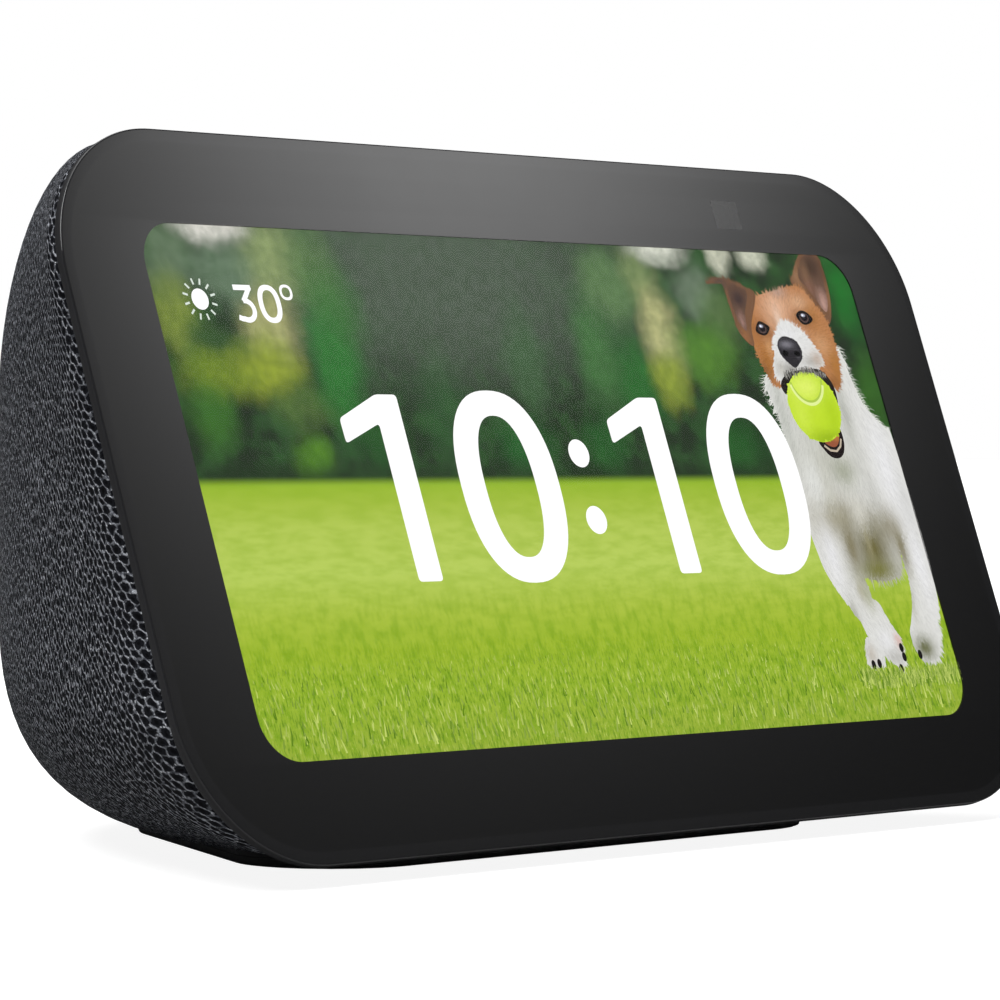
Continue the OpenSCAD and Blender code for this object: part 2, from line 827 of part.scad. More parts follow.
module antennas() {
    color([0.1, 0.1, 0.1]) for (s = [-1, 1])
        translate([s * 31 - 9, box_y[0] - 0.6, 58]) cube([18, 0.6, 8]);
}

// ==========================================================================
// Speaker
// ==========================================================================

module ear_places() {
    for (a = [45 : 90 : 315]) translate([ear_r * cos(a), 0, speaker_z + ear_r * sin(a)]) children();
}

module speaker_enclosure() {
    inner = wall + box_clear + box_t;
    color([0.18, 0.18, 0.19]) difference() {
        intersection() {
            body_solid(wall + box_clear);
            translate([-70, box_y[0], box_z[0]]) cube([140, box_y[1] - box_y[0], box_z[1] - box_z[0]]);
        }
        intersection() {
            body_solid(inner);
            translate([-70, box_y[0] + box_t, box_z[0] + box_t])
                cube([140, box_y[1] - box_y[0] - 2 * box_t, box_z[1] - box_z[0] - 2 * box_t]);
        }
        y_cylinder(speaker_r - 1.5, box_y[1] - 4, box_y[1] + 1, 0, speaker_z);
        ear_places() y_cylinder(0.8, box_y[1] - box_t - 1, box_y[1] + 1, 0, 0, 24);
        for (x = wire_x) y_cylinder(wire_r + 0.1, box_y[0] - 1, box_y[0] + box_t + 1, x, wire_z, 24);
    }
}

module speaker_basket() {
    r = speaker_r;
    low = back_plate_y + plate_t + magnet_t + plate_t;
    color([0.25, 0.25, 0.27]) difference() {
        union() {
            about_speaker([
                [9, low], [14.5, low], [surround_r + 1.2, flange_y - 2],
                [surround_r + 1.2, flange_y - flange_t], [r, flange_y - flange_t], [r, flange_y],
                [surround_r, flange_y], [surround_r, flange_y - 1.8], [13.8, low + 0.8], [9, low + 0.8]
            ]);
            ear_places() y_cylinder(2.3, flange_y - flange_t, flange_y, 0, 0, 32);
        }
        ear_places() y_cylinder(1, flange_y - 3, flange_y + 1, 0, 0, 24);
        // Windows between the arms
        for (a = [0 : 90 : 270]) translate([0, 0, speaker_z]) rotate([0, a, 0])
            translate([13, low + 2, -4.5]) cube([8, flange_y - 3.4 - low, 9]);
    }
}

module speaker_magnet() {
    y = back_plate_y + plate_t;
    color([0.15, 0.15, 0.16]) about_speaker([[9, y], [15, y], [15, y + magnet_t], [9, y + magnet_t]]);
}

module speaker_plates() {
    y = back_plate_y;
    top = y + plate_t + magnet_t;
    color([0.6, 0.6, 0.62]) {
        about_speaker([
            [0, y], [14, y], [14, y + plate_t], [coil_r - 0.7, y + plate_t],
            [coil_r - 0.7, top + plate_t], [0, top + plate_t]
        ]);
        about_speaker([[coil_r + 0.7, top], [14, top], [14, top + plate_t], [coil_r + 0.7, top + plate_t]]);
    }
}

module speaker_cone() {
    e = cone_edge_r;
    y = flange_y - 1;
    n = cone_neck_y;
    r = coil_r + coil_t / 2;
    color([0.12, 0.12, 0.12]) {
        about_speaker([[r, n], [e, y - 0.5], [e, y], [r, n + 0.5]]);
        // Dust cap: a shallow dome
        about_speaker(concat(
            [for (a = [0 : 15 : 90]) [r * cos(a), n + 0.5 + 2.4 * sin(a)]],
            [for (a = [90 : -15 : 0]) [max(r * cos(a) - 0.4, 0), n + 0.5 + 2 * sin(a)]]
        ));
        about_speaker([[r - 0.4, n], [r + 0.1, n], [r + 0.1, n + 0.6], [r - 0.4, n + 0.6]]);
    }
}

module voice_coil() {
    y = back_plate_y + plate_t + magnet_t - 0.5;
    color([0.7, 0.4, 0.2]) about_speaker([
        [coil_r - coil_t / 2, y], [coil_r + coil_t / 2, y],
        [coil_r + coil_t / 2, cone_neck_y], [coil_r - coil_t / 2, cone_neck_y]
    ]);
}

// Half-round rubber roll between the cone and the basket
module speaker_surround() {
    middle = (cone_edge_r + surround_r) / 2;
    r = (surround_r - cone_edge_r) / 2;
    y = flange_y - 1;
    color([0.1, 0.1, 0.1]) about_speaker(concat(
        [[cone_edge_r, y - 0.5]],
        [for (a = [180 : -15 : 0]) [middle + r * cos(a), y + r * sin(a)]],
        [[surround_r, y - 0.5]],
        [for (a = [0 : 15 : 180]) [middle + (r - 0.35) * cos(a), y - 0.5 + (r - 0.35) * sin(a)]]
    ));
}

module speaker_spider() {
    r = coil_r + coil_t / 2;
    y = back_plate_y + plate_t + magnet_t + plate_t + 2.2;
    color([0.75, 0.6, 0.3]) about_speaker([[r, y], [13.6, y], [13.6, y + 0.4], [r, y + 0.4]]);
}

module speaker_gasket() {
    color([0.15, 0.15, 0.15]) difference() {
        y_cylinder(speaker_r, flange_y, flange_y + 1.2, 0, speaker_z);
        y_cylinder(speaker_r - 1.5, flange_y - 1, flange_y + 2, 0, speaker_z);
    }
}

module speaker_screws() {
    color([0.4, 0.4, 0.42]) ear_places() {
        y_cylinder(1.6, flange_y, flange_y + 1, 0, 0, 32);
        y_cylinder(0.75, box_y[1] - box_t + 0.2, flange_y + 0.5, 0, 0, 24);
    }
}

module speaker_wires() {
    start = screen_back(wire_z + wire_r, main_back + speaker_socket[2]);
    color([0.6, 0.1, 0.1]) for (x = wire_x)
        y_cylinder(wire_r, start, box_y[0] + box_t, x, wire_z, 16);
}

// ==========================================================================
// Power inlet
// ==========================================================================

module jack_bezel() {
    color([0.13, 0.13, 0.14]) difference() {
        intersection() {
            body_solid(-0.2);
            y_cylinder(bezel_r - 0.05, recess_y - bezel_floor, body_d / 2 + 2, 0, jack_z);
        }
        y_cylinder(recess_r, recess_y, body_d / 2 + 5, 0, jack_z);
        y_cylinder(barrel_r + 0.1, recess_y - 3, recess_y + 1, 0, jack_z);
    }
}

module power_jack() {
    color([0.1, 0.1, 0.1]) difference() {
        union() {
            translate([-jack_w / 2, jack_back, jack_z - jack_w / 2])
                cube([jack_w, recess_y - bezel_floor - jack_back, jack_w]);
            y_cylinder(barrel_r, recess_y - 2, recess_y, 0, jack_z);
        }
        y_cylinder(jack_bore_r, bore_end_y, recess_y + 1, 0, jack_z);
        pin_root(bore_end_y + past);
    }
}

// The pin's square end, up to a depth
module pin_root(to) {
    translate([-pin_root_w / 2, jack_back + 1, jack_z - pin_root_w / 2])
        cube([pin_root_w, to - jack_back - 1, pin_root_w]);
}

module jack_pin() {
    color([0.8, 0.65, 0.3]) {
        pin_root(bore_end_y + past);
        y_cylinder(jack_pin_r, bore_end_y, pin_tip_y, 0, jack_z);
    }
}

module power_wires() {
    z = jack_z + 3;
    r = 0.7;
    start = screen_back(z + r, main_back + power_socket[2]);
    color([0.6, 0.1, 0.1]) for (x = [-2, 2]) y_cylinder(r, start, jack_back, x, z, 16);
}

cover_glass();
glass_adhesive();
front_frame();
control_strip();
lcd_panel();
backlight();
lcd_bracket();
bracket_screws();
rear_shell();
fabric_cover();
base_plate();
rubber_foot();
base_screws();
stand_magnets();
mic_off_button();
volume_down_button();
volume_up_button();
button_board();
button_switches();
button_board_screws();
microphones();
mic_boots();
shutter_knob();
shutter_blade();
camera_module();
camera_lens();
camera_board();
light_sensor();
main_board();
processor();
memory_chips();
radio_shield();
thermal_pad();
heat_spreader();
board_screws();
board_connectors();
display_flex();
button_flex();
camera_flex();
antennas();
speaker_enclosure();
speaker_basket();
speaker_magnet();
speaker_plates();
speaker_cone();
voice_coil();
speaker_surround();
speaker_spider();
speaker_gasket();
speaker_screws();
speaker_wires();
power_jack();
jack_pin();
jack_bezel();
power_wires();
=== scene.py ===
import json
import math

import bpy
import numpy as np
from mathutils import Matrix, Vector
from mathutils.geometry import tessellate_polygon


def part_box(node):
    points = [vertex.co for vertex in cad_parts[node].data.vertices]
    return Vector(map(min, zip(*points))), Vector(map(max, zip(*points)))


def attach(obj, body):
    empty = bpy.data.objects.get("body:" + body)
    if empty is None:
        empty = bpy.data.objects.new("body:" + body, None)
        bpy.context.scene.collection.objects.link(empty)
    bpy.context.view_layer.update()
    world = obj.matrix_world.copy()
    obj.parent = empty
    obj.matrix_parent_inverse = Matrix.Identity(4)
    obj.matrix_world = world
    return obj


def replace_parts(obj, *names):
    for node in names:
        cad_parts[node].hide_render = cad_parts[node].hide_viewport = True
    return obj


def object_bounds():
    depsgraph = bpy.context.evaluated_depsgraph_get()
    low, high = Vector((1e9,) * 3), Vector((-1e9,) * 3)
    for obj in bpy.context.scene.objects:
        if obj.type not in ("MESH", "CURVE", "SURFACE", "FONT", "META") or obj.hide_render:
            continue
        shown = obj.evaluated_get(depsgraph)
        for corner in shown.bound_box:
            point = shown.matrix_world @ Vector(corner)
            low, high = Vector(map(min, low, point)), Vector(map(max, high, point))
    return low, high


# Smart display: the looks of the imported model. Lengths below are millimetres unless a name
# ends in _m, and MM turns them into Blender's metres.

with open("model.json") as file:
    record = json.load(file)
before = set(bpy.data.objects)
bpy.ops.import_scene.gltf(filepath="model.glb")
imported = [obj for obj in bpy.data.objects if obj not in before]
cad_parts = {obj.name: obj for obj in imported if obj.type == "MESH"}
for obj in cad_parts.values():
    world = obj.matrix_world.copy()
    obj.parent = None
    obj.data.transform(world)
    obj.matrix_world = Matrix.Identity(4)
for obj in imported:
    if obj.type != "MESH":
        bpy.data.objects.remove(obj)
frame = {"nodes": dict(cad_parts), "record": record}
cad_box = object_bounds()

MM = 0.001
TAU = 2 * math.pi

# ---------------------------------------------------------------------------------------
# Camera
# ---------------------------------------------------------------------------------------

CAMERA_PLACE = (-389.10, -379.25, 46.86)
CAMERA_YAW = 0.8223
CAMERA_PITCH = -0.0119
CAMERA_LENS = 160.0
CAMERA_SENSOR = 36.0


def make_camera():
    data = bpy.data.cameras.new("camera")
    data.lens = CAMERA_LENS
    data.sensor_width = CAMERA_SENSOR
    data.clip_end = 20
    camera = bpy.data.objects.new("camera", data)
    bpy.context.scene.collection.objects.link(camera)
    camera.location = [c * MM for c in CAMERA_PLACE]
    camera.rotation_euler = (math.pi / 2 + CAMERA_PITCH, 0, -CAMERA_YAW)
    bpy.context.scene.camera = camera


make_camera()

# ---------------------------------------------------------------------------------------
# Places taken from the frame
# ---------------------------------------------------------------------------------------


def node_mesh(name):
    """A CAD node's points in millimetres and its largest face's outward normal."""
    mesh = frame["nodes"][name].data
    points = np.array([v.co for v in mesh.vertices]) / MM
    face = max(mesh.polygons, key=lambda f: f.area)
    return points, Vector(face.normal)


glass_points, glass_normal = node_mesh("cover_glass")
if glass_normal.y > 0:
    glass_normal = -glass_normal
SCREEN_OUT = np.array(glass_normal)
SCREEN_UP = np.array((0, SCREEN_OUT[2], -SCREEN_OUT[1]))
front_depth = (glass_points @ SCREEN_OUT).max()
slope = glass_points @ SCREEN_UP
GLASS_W = np.ptp(glass_points[:, 0])
GLASS_H = np.ptp(slope)
GLASS_T = np.ptp(glass_points @ SCREEN_OUT)
GLASS_SHIFT = -0.15  # the glass's middle lies this far below the display's middle
SCREEN_ORIGIN = SCREEN_OUT * front_depth + SCREEN_UP * ((slope.max() + slope.min()) / 2 - GLASS_SHIFT)


def on_screen(u, v, depth=0.0):
    """Screen coordinates to the part's frame: u right, v up the slope, depth inward."""
    u, v = np.asarray(u, float), np.asarray(v, float)
    places = SCREEN_ORIGIN + v[..., None] * SCREEN_UP - depth * SCREEN_OUT
    places[..., 0] += u
    return places


GLASS_R = 17.5
BEVEL_W = 1.5
DISPLAY_W = 123.4
DISPLAY_H = 61.8
DISPLAY_R = 5.2
CAMERA_U = 40.25
CAMERA_V = 35.75
CAMERA_WINDOW_W = 4.9
CAMERA_WINDOW_H = 3.8
PANE_T = 0.1
PICTURE_DEPTH = 0.2
PAINT_STEP = 0.004

# ---------------------------------------------------------------------------------------
# Mesh helpers
# ---------------------------------------------------------------------------------------


def piece(name, points, faces, body="housing", slot=None, smooth=True, uv=None, colours=None):
    """An object from points in millimetres. uv and colours hold one value per point."""
    mesh = bpy.data.meshes.new(name)
    mesh.from_pydata([tuple(p) for p in np.asarray(points) * MM], [], [tuple(f) for f in faces])
    mesh.validate()
    mesh.shade_smooth() if smooth else mesh.shade_flat()
    if uv is not None:
        layer = mesh.uv_layers.new(name="UVMap")
        index = np.array([loop.vertex_index for loop in mesh.loops])
        layer.data.foreach_set("uv", np.asarray(uv, float)[index].ravel())
    if colours is not None:
        attribute = mesh.color_attributes.new("paint", "FLOAT_COLOR", "POINT")
        rgba = np.ones((len(points), 4))
        rgba[:, :3] = colours
        attribute.data.foreach_set("color", rgba.ravel())
    obj = bpy.data.objects.new(name, mesh)
    bpy.context.scene.collection.objects.link(obj)
    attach(obj, body)
    return obj


def sharp_by_angle(obj, degrees=35):
    """Marks the edges that stay crisp under smooth shading."""
    mesh = obj.data
    normals = {}
    for face in mesh.polygons:
        for key in face.edge_keys:
            normals.setdefault(key, []).append(face.normal.copy())
    limit = math.radians(degrees)
    for edge in mesh.edges:
        pair = normals.get(tuple(sorted(edge.vertices)), [])
        edge.use_edge_sharp = len(pair) != 2 or pair[0].angle(pair[1], 0) > limit


def rounded_rect(w, h, r, middle=(0, 0), per_corner=20):
    """Points of a rounded rectangle, counter-clockwise from its right side."""
    corners = [(1, 1), (-1, 1), (-1, -1), (1, -1)]
    points = []
    for k, (sx, sy) in enumerate(corners):
        for i in range(per_corner + 1):
            a = TAU / 4 * (k + i / per_corner)
            x = sx * (w / 2 - r) + r * math.cos(a)
            y = sy * (h / 2 - r) + r * math.sin(a)
            points.append((x + middle[0], y + middle[1]))
    return np.array(points)


def ring_faces(count, rows, start=0):
    """Quads between rows of count points each, closed round."""
    faces = []
    for j in range(rows - 1):
        for i in range(count):
            a, b = start + j * count + i, start + j * count + (i + 1) % count
            faces.append((a, b, b + count, a + count))
    return faces


def flat_faces(outlines, start=0):
    """Triangles that fill the first outline and leave the others open. All points in order."""
    loops = [[Vector((x, y, 0)) for x, y in outline] for outline in outlines]
    return [tuple(start + i for i in face) for face in tessellate_polygon(loops)]


def facing(points, faces, way):
    """Turns each flat face to point the way given."""
    out = []
    for face in faces:
        a, b, c = (np.asarray(points[i]) for i in face[:3])
        out.append(face if np.dot(np.cross(b - a, c - a), way) > 0 else tuple(reversed(face)))
    return out


def join_meshes(parts):
    """Joins (points, faces) pairs into one."""
    points, faces = [], []
    for part_points, part_faces in parts:
        faces += [tuple(i + len(points) for i in face) for face in part_faces]
        points += list(part_points)
    return np.array(points), faces


def screen_slab(outline, near, far):
    """A closed slab on the screen between two depths, from an outline in u and v."""
    n = len(outline)
    u, v = outline[:, 0], outline[:, 1]
    points = np.vstack([on_screen(u, v, near), on_screen(u, v, far)])
    faces = facing(points, flat_faces([outline]), SCREEN_OUT)
    faces += facing(points, flat_faces([outline], n), -SCREEN_OUT)
    faces += [tuple(reversed(f)) for f in ring_faces(n, 2)]
    return points, faces


def smooth_outline(points, steps=8):
    """A closed Catmull-Rom curve through the points."""
    p = np.array(points, float)
    n = len(p)
    out = []
    for i in range(n):
        a, b, c, d = p[i - 1], p[i], p[(i + 1) % n], p[(i + 2) % n]
        for k in range(steps):
            t = k / steps
            out.append(0.5 * (2 * b + (c - a) * t + (2 * a - 5 * b + 4 * c - d) * t ** 2
                              + (3 * b - a - 3 * c + d) * t ** 3))
    return np.array(out)


# ---------------------------------------------------------------------------------------
# Material helpers
# ---------------------------------------------------------------------------------------


def srgb(r, g, b):
    """A colour given as 0 to 255 display values, as the linear values that nodes use."""
    return tuple(c / 12.92 if c <= 0.04045 else ((c + 0.055) / 1.055) ** 2.4
                 for c in (r / 255, g / 255, b / 255))


class Nodes:
    """A material and short ways to add nodes to it."""

    def __init__(self, name):
        self.material = bpy.data.materials.new(name)
        self.material.use_nodes = True
        self.tree = self.material.node_tree
        self.shader = self.tree.nodes["Principled BSDF"]

    def put(self, kind, values=None, **settings):
        made = self.tree.nodes.new(kind)
        for key, value in settings.items():
            setattr(made, key, value)
        for key, value in (values or {}).items():
            self.plug(made.inputs[key], value)
        return made

    def plug(self, socket, value):
        if isinstance(value, bpy.types.NodeSocket):
            self.tree.links.new(value, socket)
        elif isinstance(value, tuple) and len(value) == 3 and socket.type == "RGBA":
            socket.default_value = (*value, 1)
        else:
            socket.default_value = value

    def set(self, **values):
        """Sets the shader's sockets; an underscore stands for a space."""
        for key, value in values.items():
            self.plug(self.shader.inputs[key.replace("_", " ")], value)

    def math(self, operation, a, b=0.0, c=0.0, clamp=False):
        values = {0: a, 1: b, 2: c}
        return self.put("ShaderNodeMath", values, operation=operation, use_clamp=clamp).outputs[0]

    def vector(self, operation, a, b=(0, 0, 0)):
        made = self.put("ShaderNodeVectorMath", {0: a, 1: b}, operation=operation)
        return made.outputs["Value"] if operation in ("LENGTH", "DOT_PRODUCT") else made.outputs[0]

    def where(self):
        """The place on the object, in millimetres of the part's frame."""
        place = self.put("ShaderNodeTexCoord").outputs["Object"]
        return self.put("ShaderNodeVectorMath", {0: place, "Scale": 1 / MM}, operation="SCALE").outputs[0]

    def uv(self):
        return self.put("ShaderNodeUVMap", uv_map="UVMap").outputs[0]

    def noise(self, place, scale, detail=2.0, roughness=0.5, stretch=None):
        """Noise from 0 to 1 whose scale is in features per millimetre."""
        if stretch:
            place = self.vector("MULTIPLY", place, stretch)
        return self.put("ShaderNodeTexNoise", {
            "Vector": place, "Scale": scale, "Detail": detail, "Roughness": roughness,
        }).outputs["Fac"]

    def ramp(self, value, low, high, to_low=0.0, to_high=1.0, smooth=True):
        kind = "SMOOTHSTEP" if smooth else "LINEAR"
        return self.put("ShaderNodeMapRange", {
            "Value": value, "From Min": low, "From Max": high, "To Min": to_low, "To Max": to_high,
        }, interpolation_type=kind).outputs[0]

    def mix(self, factor, a, b):
        made = self.put("ShaderNodeMix", data_type="RGBA")
        self.plug(made.inputs[0], factor)
        self.plug(made.inputs[6], a)
        self.plug(made.inputs[7], b)
        return made.outputs[2]

    def bump(self, height, distance, strength=1.0, normal=None):
        """distance is how far the height of 1 stands, in millimetres."""
        values = {"Height": height, "Distance": distance * MM, "Strength": strength}
        if normal is not None:
            values["Normal"] = normal
        return self.put("ShaderNodeBump", values).outputs[0]


def surface(name, colour, other=None, roughness=0.5, spread=0.08, grain=1.5, depth=0.02,
            metallic=0.0, stretch=None, **sockets):
    """A moulded, cast or rolled surface: colour that wanders a little, uneven roughness and
    a fine grain. grain is in features per millimetre and depth in millimetres."""
    n = Nodes(name)
    place = n.where()
    broad = n.noise(place, 0.12, 3)
    fine = n.noise(place, grain, 3, 0.6, stretch)
    other = other or tuple(c * 0.82 for c in colour)
    n.set(
        Base_Color=n.mix(n.ramp(broad, 0.3, 0.7), colour, other),
        Roughness=n.ramp(fine, 0.2, 0.8, max(roughness - spread, 0.02), min(roughness + spread, 1)),
        Metallic=metallic,
        Normal=n.bump(fine, depth, 0.6),
        **sockets,
    )
    return n.material


# ---------------------------------------------------------------------------------------
# Materials of the CAD nodes, by the record's material slots
# ---------------------------------------------------------------------------------------


def circuit_board():
    """Green solder mask over darker copper tracks, with bright via dots."""
    n = Nodes("circuit_board")
    place = n.where()
    tracks = n.put("ShaderNodeTexBrick", {
        "Vector": place, "Scale": 0.5, "Mortar Size": 0.05, "Brick Width": 1.7, "Row Height": 0.4,
        "Color1": (0, 0, 0), "Color2": (0.4, 0.4, 0.4), "Mortar": (1, 1, 1),
    }).outputs["Color"]
    vias = n.put("ShaderNodeTexVoronoi", {"Vector": place, "Scale": 0.35}).outputs["Distance"]
    track_shade = n.ramp(tracks, 0.5, 1.0)
    board = n.mix(track_shade, srgb(14, 72, 42), srgb(24, 104, 60))
    n.set(Base_Color=n.mix(n.ramp(vias, 0.16, 0.12), board, srgb(190, 170, 110)), Roughness=0.35,
          Normal=n.bump(track_shade, 0.03))
    return n.material


def wound_coil():
    """Copper wire in close turns along Y."""
    n = Nodes("coil_copper")
    y = n.put("ShaderNodeSeparateXYZ", {0: n.where()}).outputs[1]
    turns = n.math("ABSOLUTE", n.math("SINE", n.math("MULTIPLY", y, 14.0)))
    # The copper is darker in the grooves between turns and lighter on their crests: painted shade and
    # highlight.
    n.set(Base_Color=n.mix(turns, srgb(110, 56, 26), srgb(206, 122, 68)), Metallic=1.0, Roughness=0.3,
          Normal=n.bump(turns, 0.06))
    return n.material


def woven(name, dark, light, pitch):
    """A plain weave in the part's X and Z."""
    n = Nodes(name)
    split = n.put("ShaderNodeSeparateXYZ", {0: n.where()})
    a = n.math("SINE", n.math("MULTIPLY", split.outputs[0], TAU / pitch))
    b = n.math("SINE", n.math("MULTIPLY", split.outputs[2], TAU / pitch))
    weave = n.math("MULTIPLY_ADD", n.math("MULTIPLY", a, b), 0.5, 0.5)
    # The cloth is darker where the weave dips and lighter where it rises: painted shade.
    n.set(Base_Color=n.mix(weave, dark, light), Roughness=0.85, Normal=n.bump(weave, 0.1))
    return n.material


METAL = dict(metallic=1.0, spread=0.12)
SLOT_LOOKS = {
    "tape": lambda: surface("tape", srgb(20, 20, 21), roughness=0.7, grain=3),
    "frame_plastic": lambda: surface(
        "frame_plastic", srgb(32, 32, 34), srgb(28, 28, 30), 0.5, 0.06, 5, 0.006, Specular_IOR_Level=0.35),
    "display": lambda: surface("display_edge", srgb(40, 46, 44), roughness=0.25, grain=0.8),
    "light_guide": lambda: surface("light_guide", srgb(226, 228, 224), roughness=0.35, grain=1.2),
    "pressed_steel": lambda: surface(
        "pressed_steel", srgb(176, 178, 182), roughness=0.34, grain=1.2, stretch=(0.2, 3, 3), **METAL),
    "screw_steel": lambda: surface("screw_steel", srgb(120, 122, 128), roughness=0.3, grain=4, **METAL),
    "shell_plastic": lambda: surface(
        "shell_plastic", srgb(44, 45, 47), roughness=0.55, grain=3, depth=0.01),
    "foot_rubber": lambda: surface(
        "foot_rubber", srgb(104, 104, 106), srgb(96, 96, 98), 0.72, 0.08, 2.5, 0.02),
    "magnet_nickel": lambda: surface("magnet_nickel", srgb(196, 196, 192), roughness=0.16, **METAL),
    "key_plastic": lambda: surface(
        "key_plastic", srgb(40, 40, 42), srgb(35, 35, 37), 0.48, 0.06, 6, 0.006),
    "circuit_board": circuit_board,
    "component_metal": lambda: surface("component_metal", srgb(188, 186, 178), roughness=0.28, **METAL),
    "black_component": lambda: surface("black_component", srgb(28, 28, 29), roughness=0.55, grain=6),
    "boot_rubber": lambda: surface("boot_rubber", srgb(42, 42, 43), roughness=0.8, grain=3),
    "lens_glass": lambda: surface(
        "lens_glass", srgb(14, 16, 34), srgb(26, 14, 38), 0.05, 0.02, 0.6, 0.001, Coat_Weight=1.0),
    "pad_silicone": lambda: surface("pad_silicone", srgb(150, 158, 186), roughness=0.7, grain=2),
    "cast_aluminium": lambda: surface("cast_aluminium", srgb(186, 188, 192), roughness=0.42, **METAL),
    "socket_plastic": lambda: surface("socket_plastic", srgb(222, 214, 192), roughness=0.45, grain=3),
    "flex_film": lambda: surface(
        "flex_film", srgb(176, 104, 34), srgb(150, 84, 26), 0.28, grain=2, stretch=(6, 0.3, 0.3)),
    "ferrite": lambda: surface("ferrite", srgb(46, 46, 48), roughness=0.75, grain=4, depth=0.05),
    "plated_steel": lambda: surface("plated_steel", srgb(172, 174, 178), roughness=0.24, **METAL),
    "basket_steel": lambda: surface("basket_steel", srgb(66, 67, 70), roughness=0.5, grain=3),
    "cone_paper": lambda: surface(
        "cone_paper", srgb(44, 43, 42), srgb(34, 34, 34), 0.88, 0.06, 2.5, 0.08),
    "coil_copper": wound_coil,
    "roll_rubber": lambda: surface("roll_rubber", srgb(30, 30, 31), roughness=0.6, grain=3),
    "spider_cloth": lambda: woven("spider_cloth", srgb(120, 92, 44), srgb(196, 160, 92), 0.7),
    "gasket_foam": lambda: surface("gasket_foam", srgb(38, 38, 39), roughness=0.95, grain=4, depth=0.1),
    "red_wire": lambda: surface("red_wire", srgb(150, 26, 24), roughness=0.4, grain=2),
    "pin_brass": lambda: surface("pin_brass", srgb(212, 176, 96), roughness=0.22, **METAL),
}


def dress_cad_nodes():
    """Gives each CAD node the material of its slot, where that slot has a look here."""
    made = {}
    slot_of = {part["node"]: part["material_slot"] for part in frame["record"]["subparts"]}
    for name, obj in frame["nodes"].items():
        slot = slot_of[name]
        if slot not in SLOT_LOOKS:
            continue
        if slot not in made:
            made[slot] = SLOT_LOOKS[slot]()
        for holder in obj.material_slots:
            holder.material = made[slot]


# ---------------------------------------------------------------------------------------
# Glass
# ---------------------------------------------------------------------------------------

GLASS_ROUGH = 0.045
INK_TONES = (srgb(9, 9, 10), srgb(15, 15, 16))


def border_look(name="glass_border", pale=1.0):
    """Black ink seen through polished glass. The second argument is how much lighter than the ink it is:
    above 1 the paler ink is painted light, the bevel's lighter reflection and the arris's highlight.
    """
    n = Nodes(name)
    place = n.where()
    smear = n.noise(place, 0.05, 4, 0.6)
    ink = n.noise(place, 9.0, 1)
    n.set(
        Base_Color=n.mix(ink, *(tuple(c * pale for c in tone) for tone in INK_TONES)),
        Roughness=n.ramp(smear, 0.3, 0.7, GLASS_ROUGH, GLASS_ROUGH * 1.7),
        IOR=1.5,
    )
    return n.material


def pane_look(name, tint, mirrored, rough=GLASS_ROUGH):
    """Clear flat glass: it shows what is behind it, and mirrors by its angle. mirrored is the
    part of bare glass's reflection that its coating leaves."""
    n = Nodes(name)
    smear = n.noise(n.where(), 0.05, 4, 0.6)
    through = n.put("ShaderNodeBsdfTransparent", {"Color": tint}).outputs[0]
    mirror = n.put("ShaderNodeBsdfGlossy", {
        "Color": (1, 1, 1), "Roughness": n.ramp(smear, 0.3, 0.7, rough, rough * 1.7),
    }).outputs[0]
    # Only the outer face mirrors, so that nothing is lost behind it
    outer = n.ramp(n.put("ShaderNodeNewGeometry").outputs["Backfacing"], 0, 1, mirrored, 0)
    share = n.math("MULTIPLY", n.put("ShaderNodeFresnel", {"IOR": 1.5}).outputs[0], outer)
    both = n.put("ShaderNodeMixShader", {0: share, 1: through, 2: mirror}).outputs[0]
    n.tree.nodes.remove(n.shader)
    n.tree.links.new(both, n.tree.nodes["Material Output"].inputs["Surface"])
    return n.material


def window_outline(grow=0.0):
    return rounded_rect(DISPLAY_W + 2 * grow, DISPLAY_H + 2 * grow, DISPLAY_R + grow)


def camera_outline(grow=0.0):
    return rounded_rect(CAMERA_WINDOW_W + 2 * grow, CAMERA_WINDOW_H + 2 * grow, 0.3,
                        (CAMERA_U, CAMERA_V), 4)


def glass_ring(inset):
    """The glass's outline, moved inward."""
    w, h = GLASS_W - 2 * inset, GLASS_H - 2 * inset
    return rounded_rect(w, h, GLASS_R - inset, (0, GLASS_SHIFT), 40)


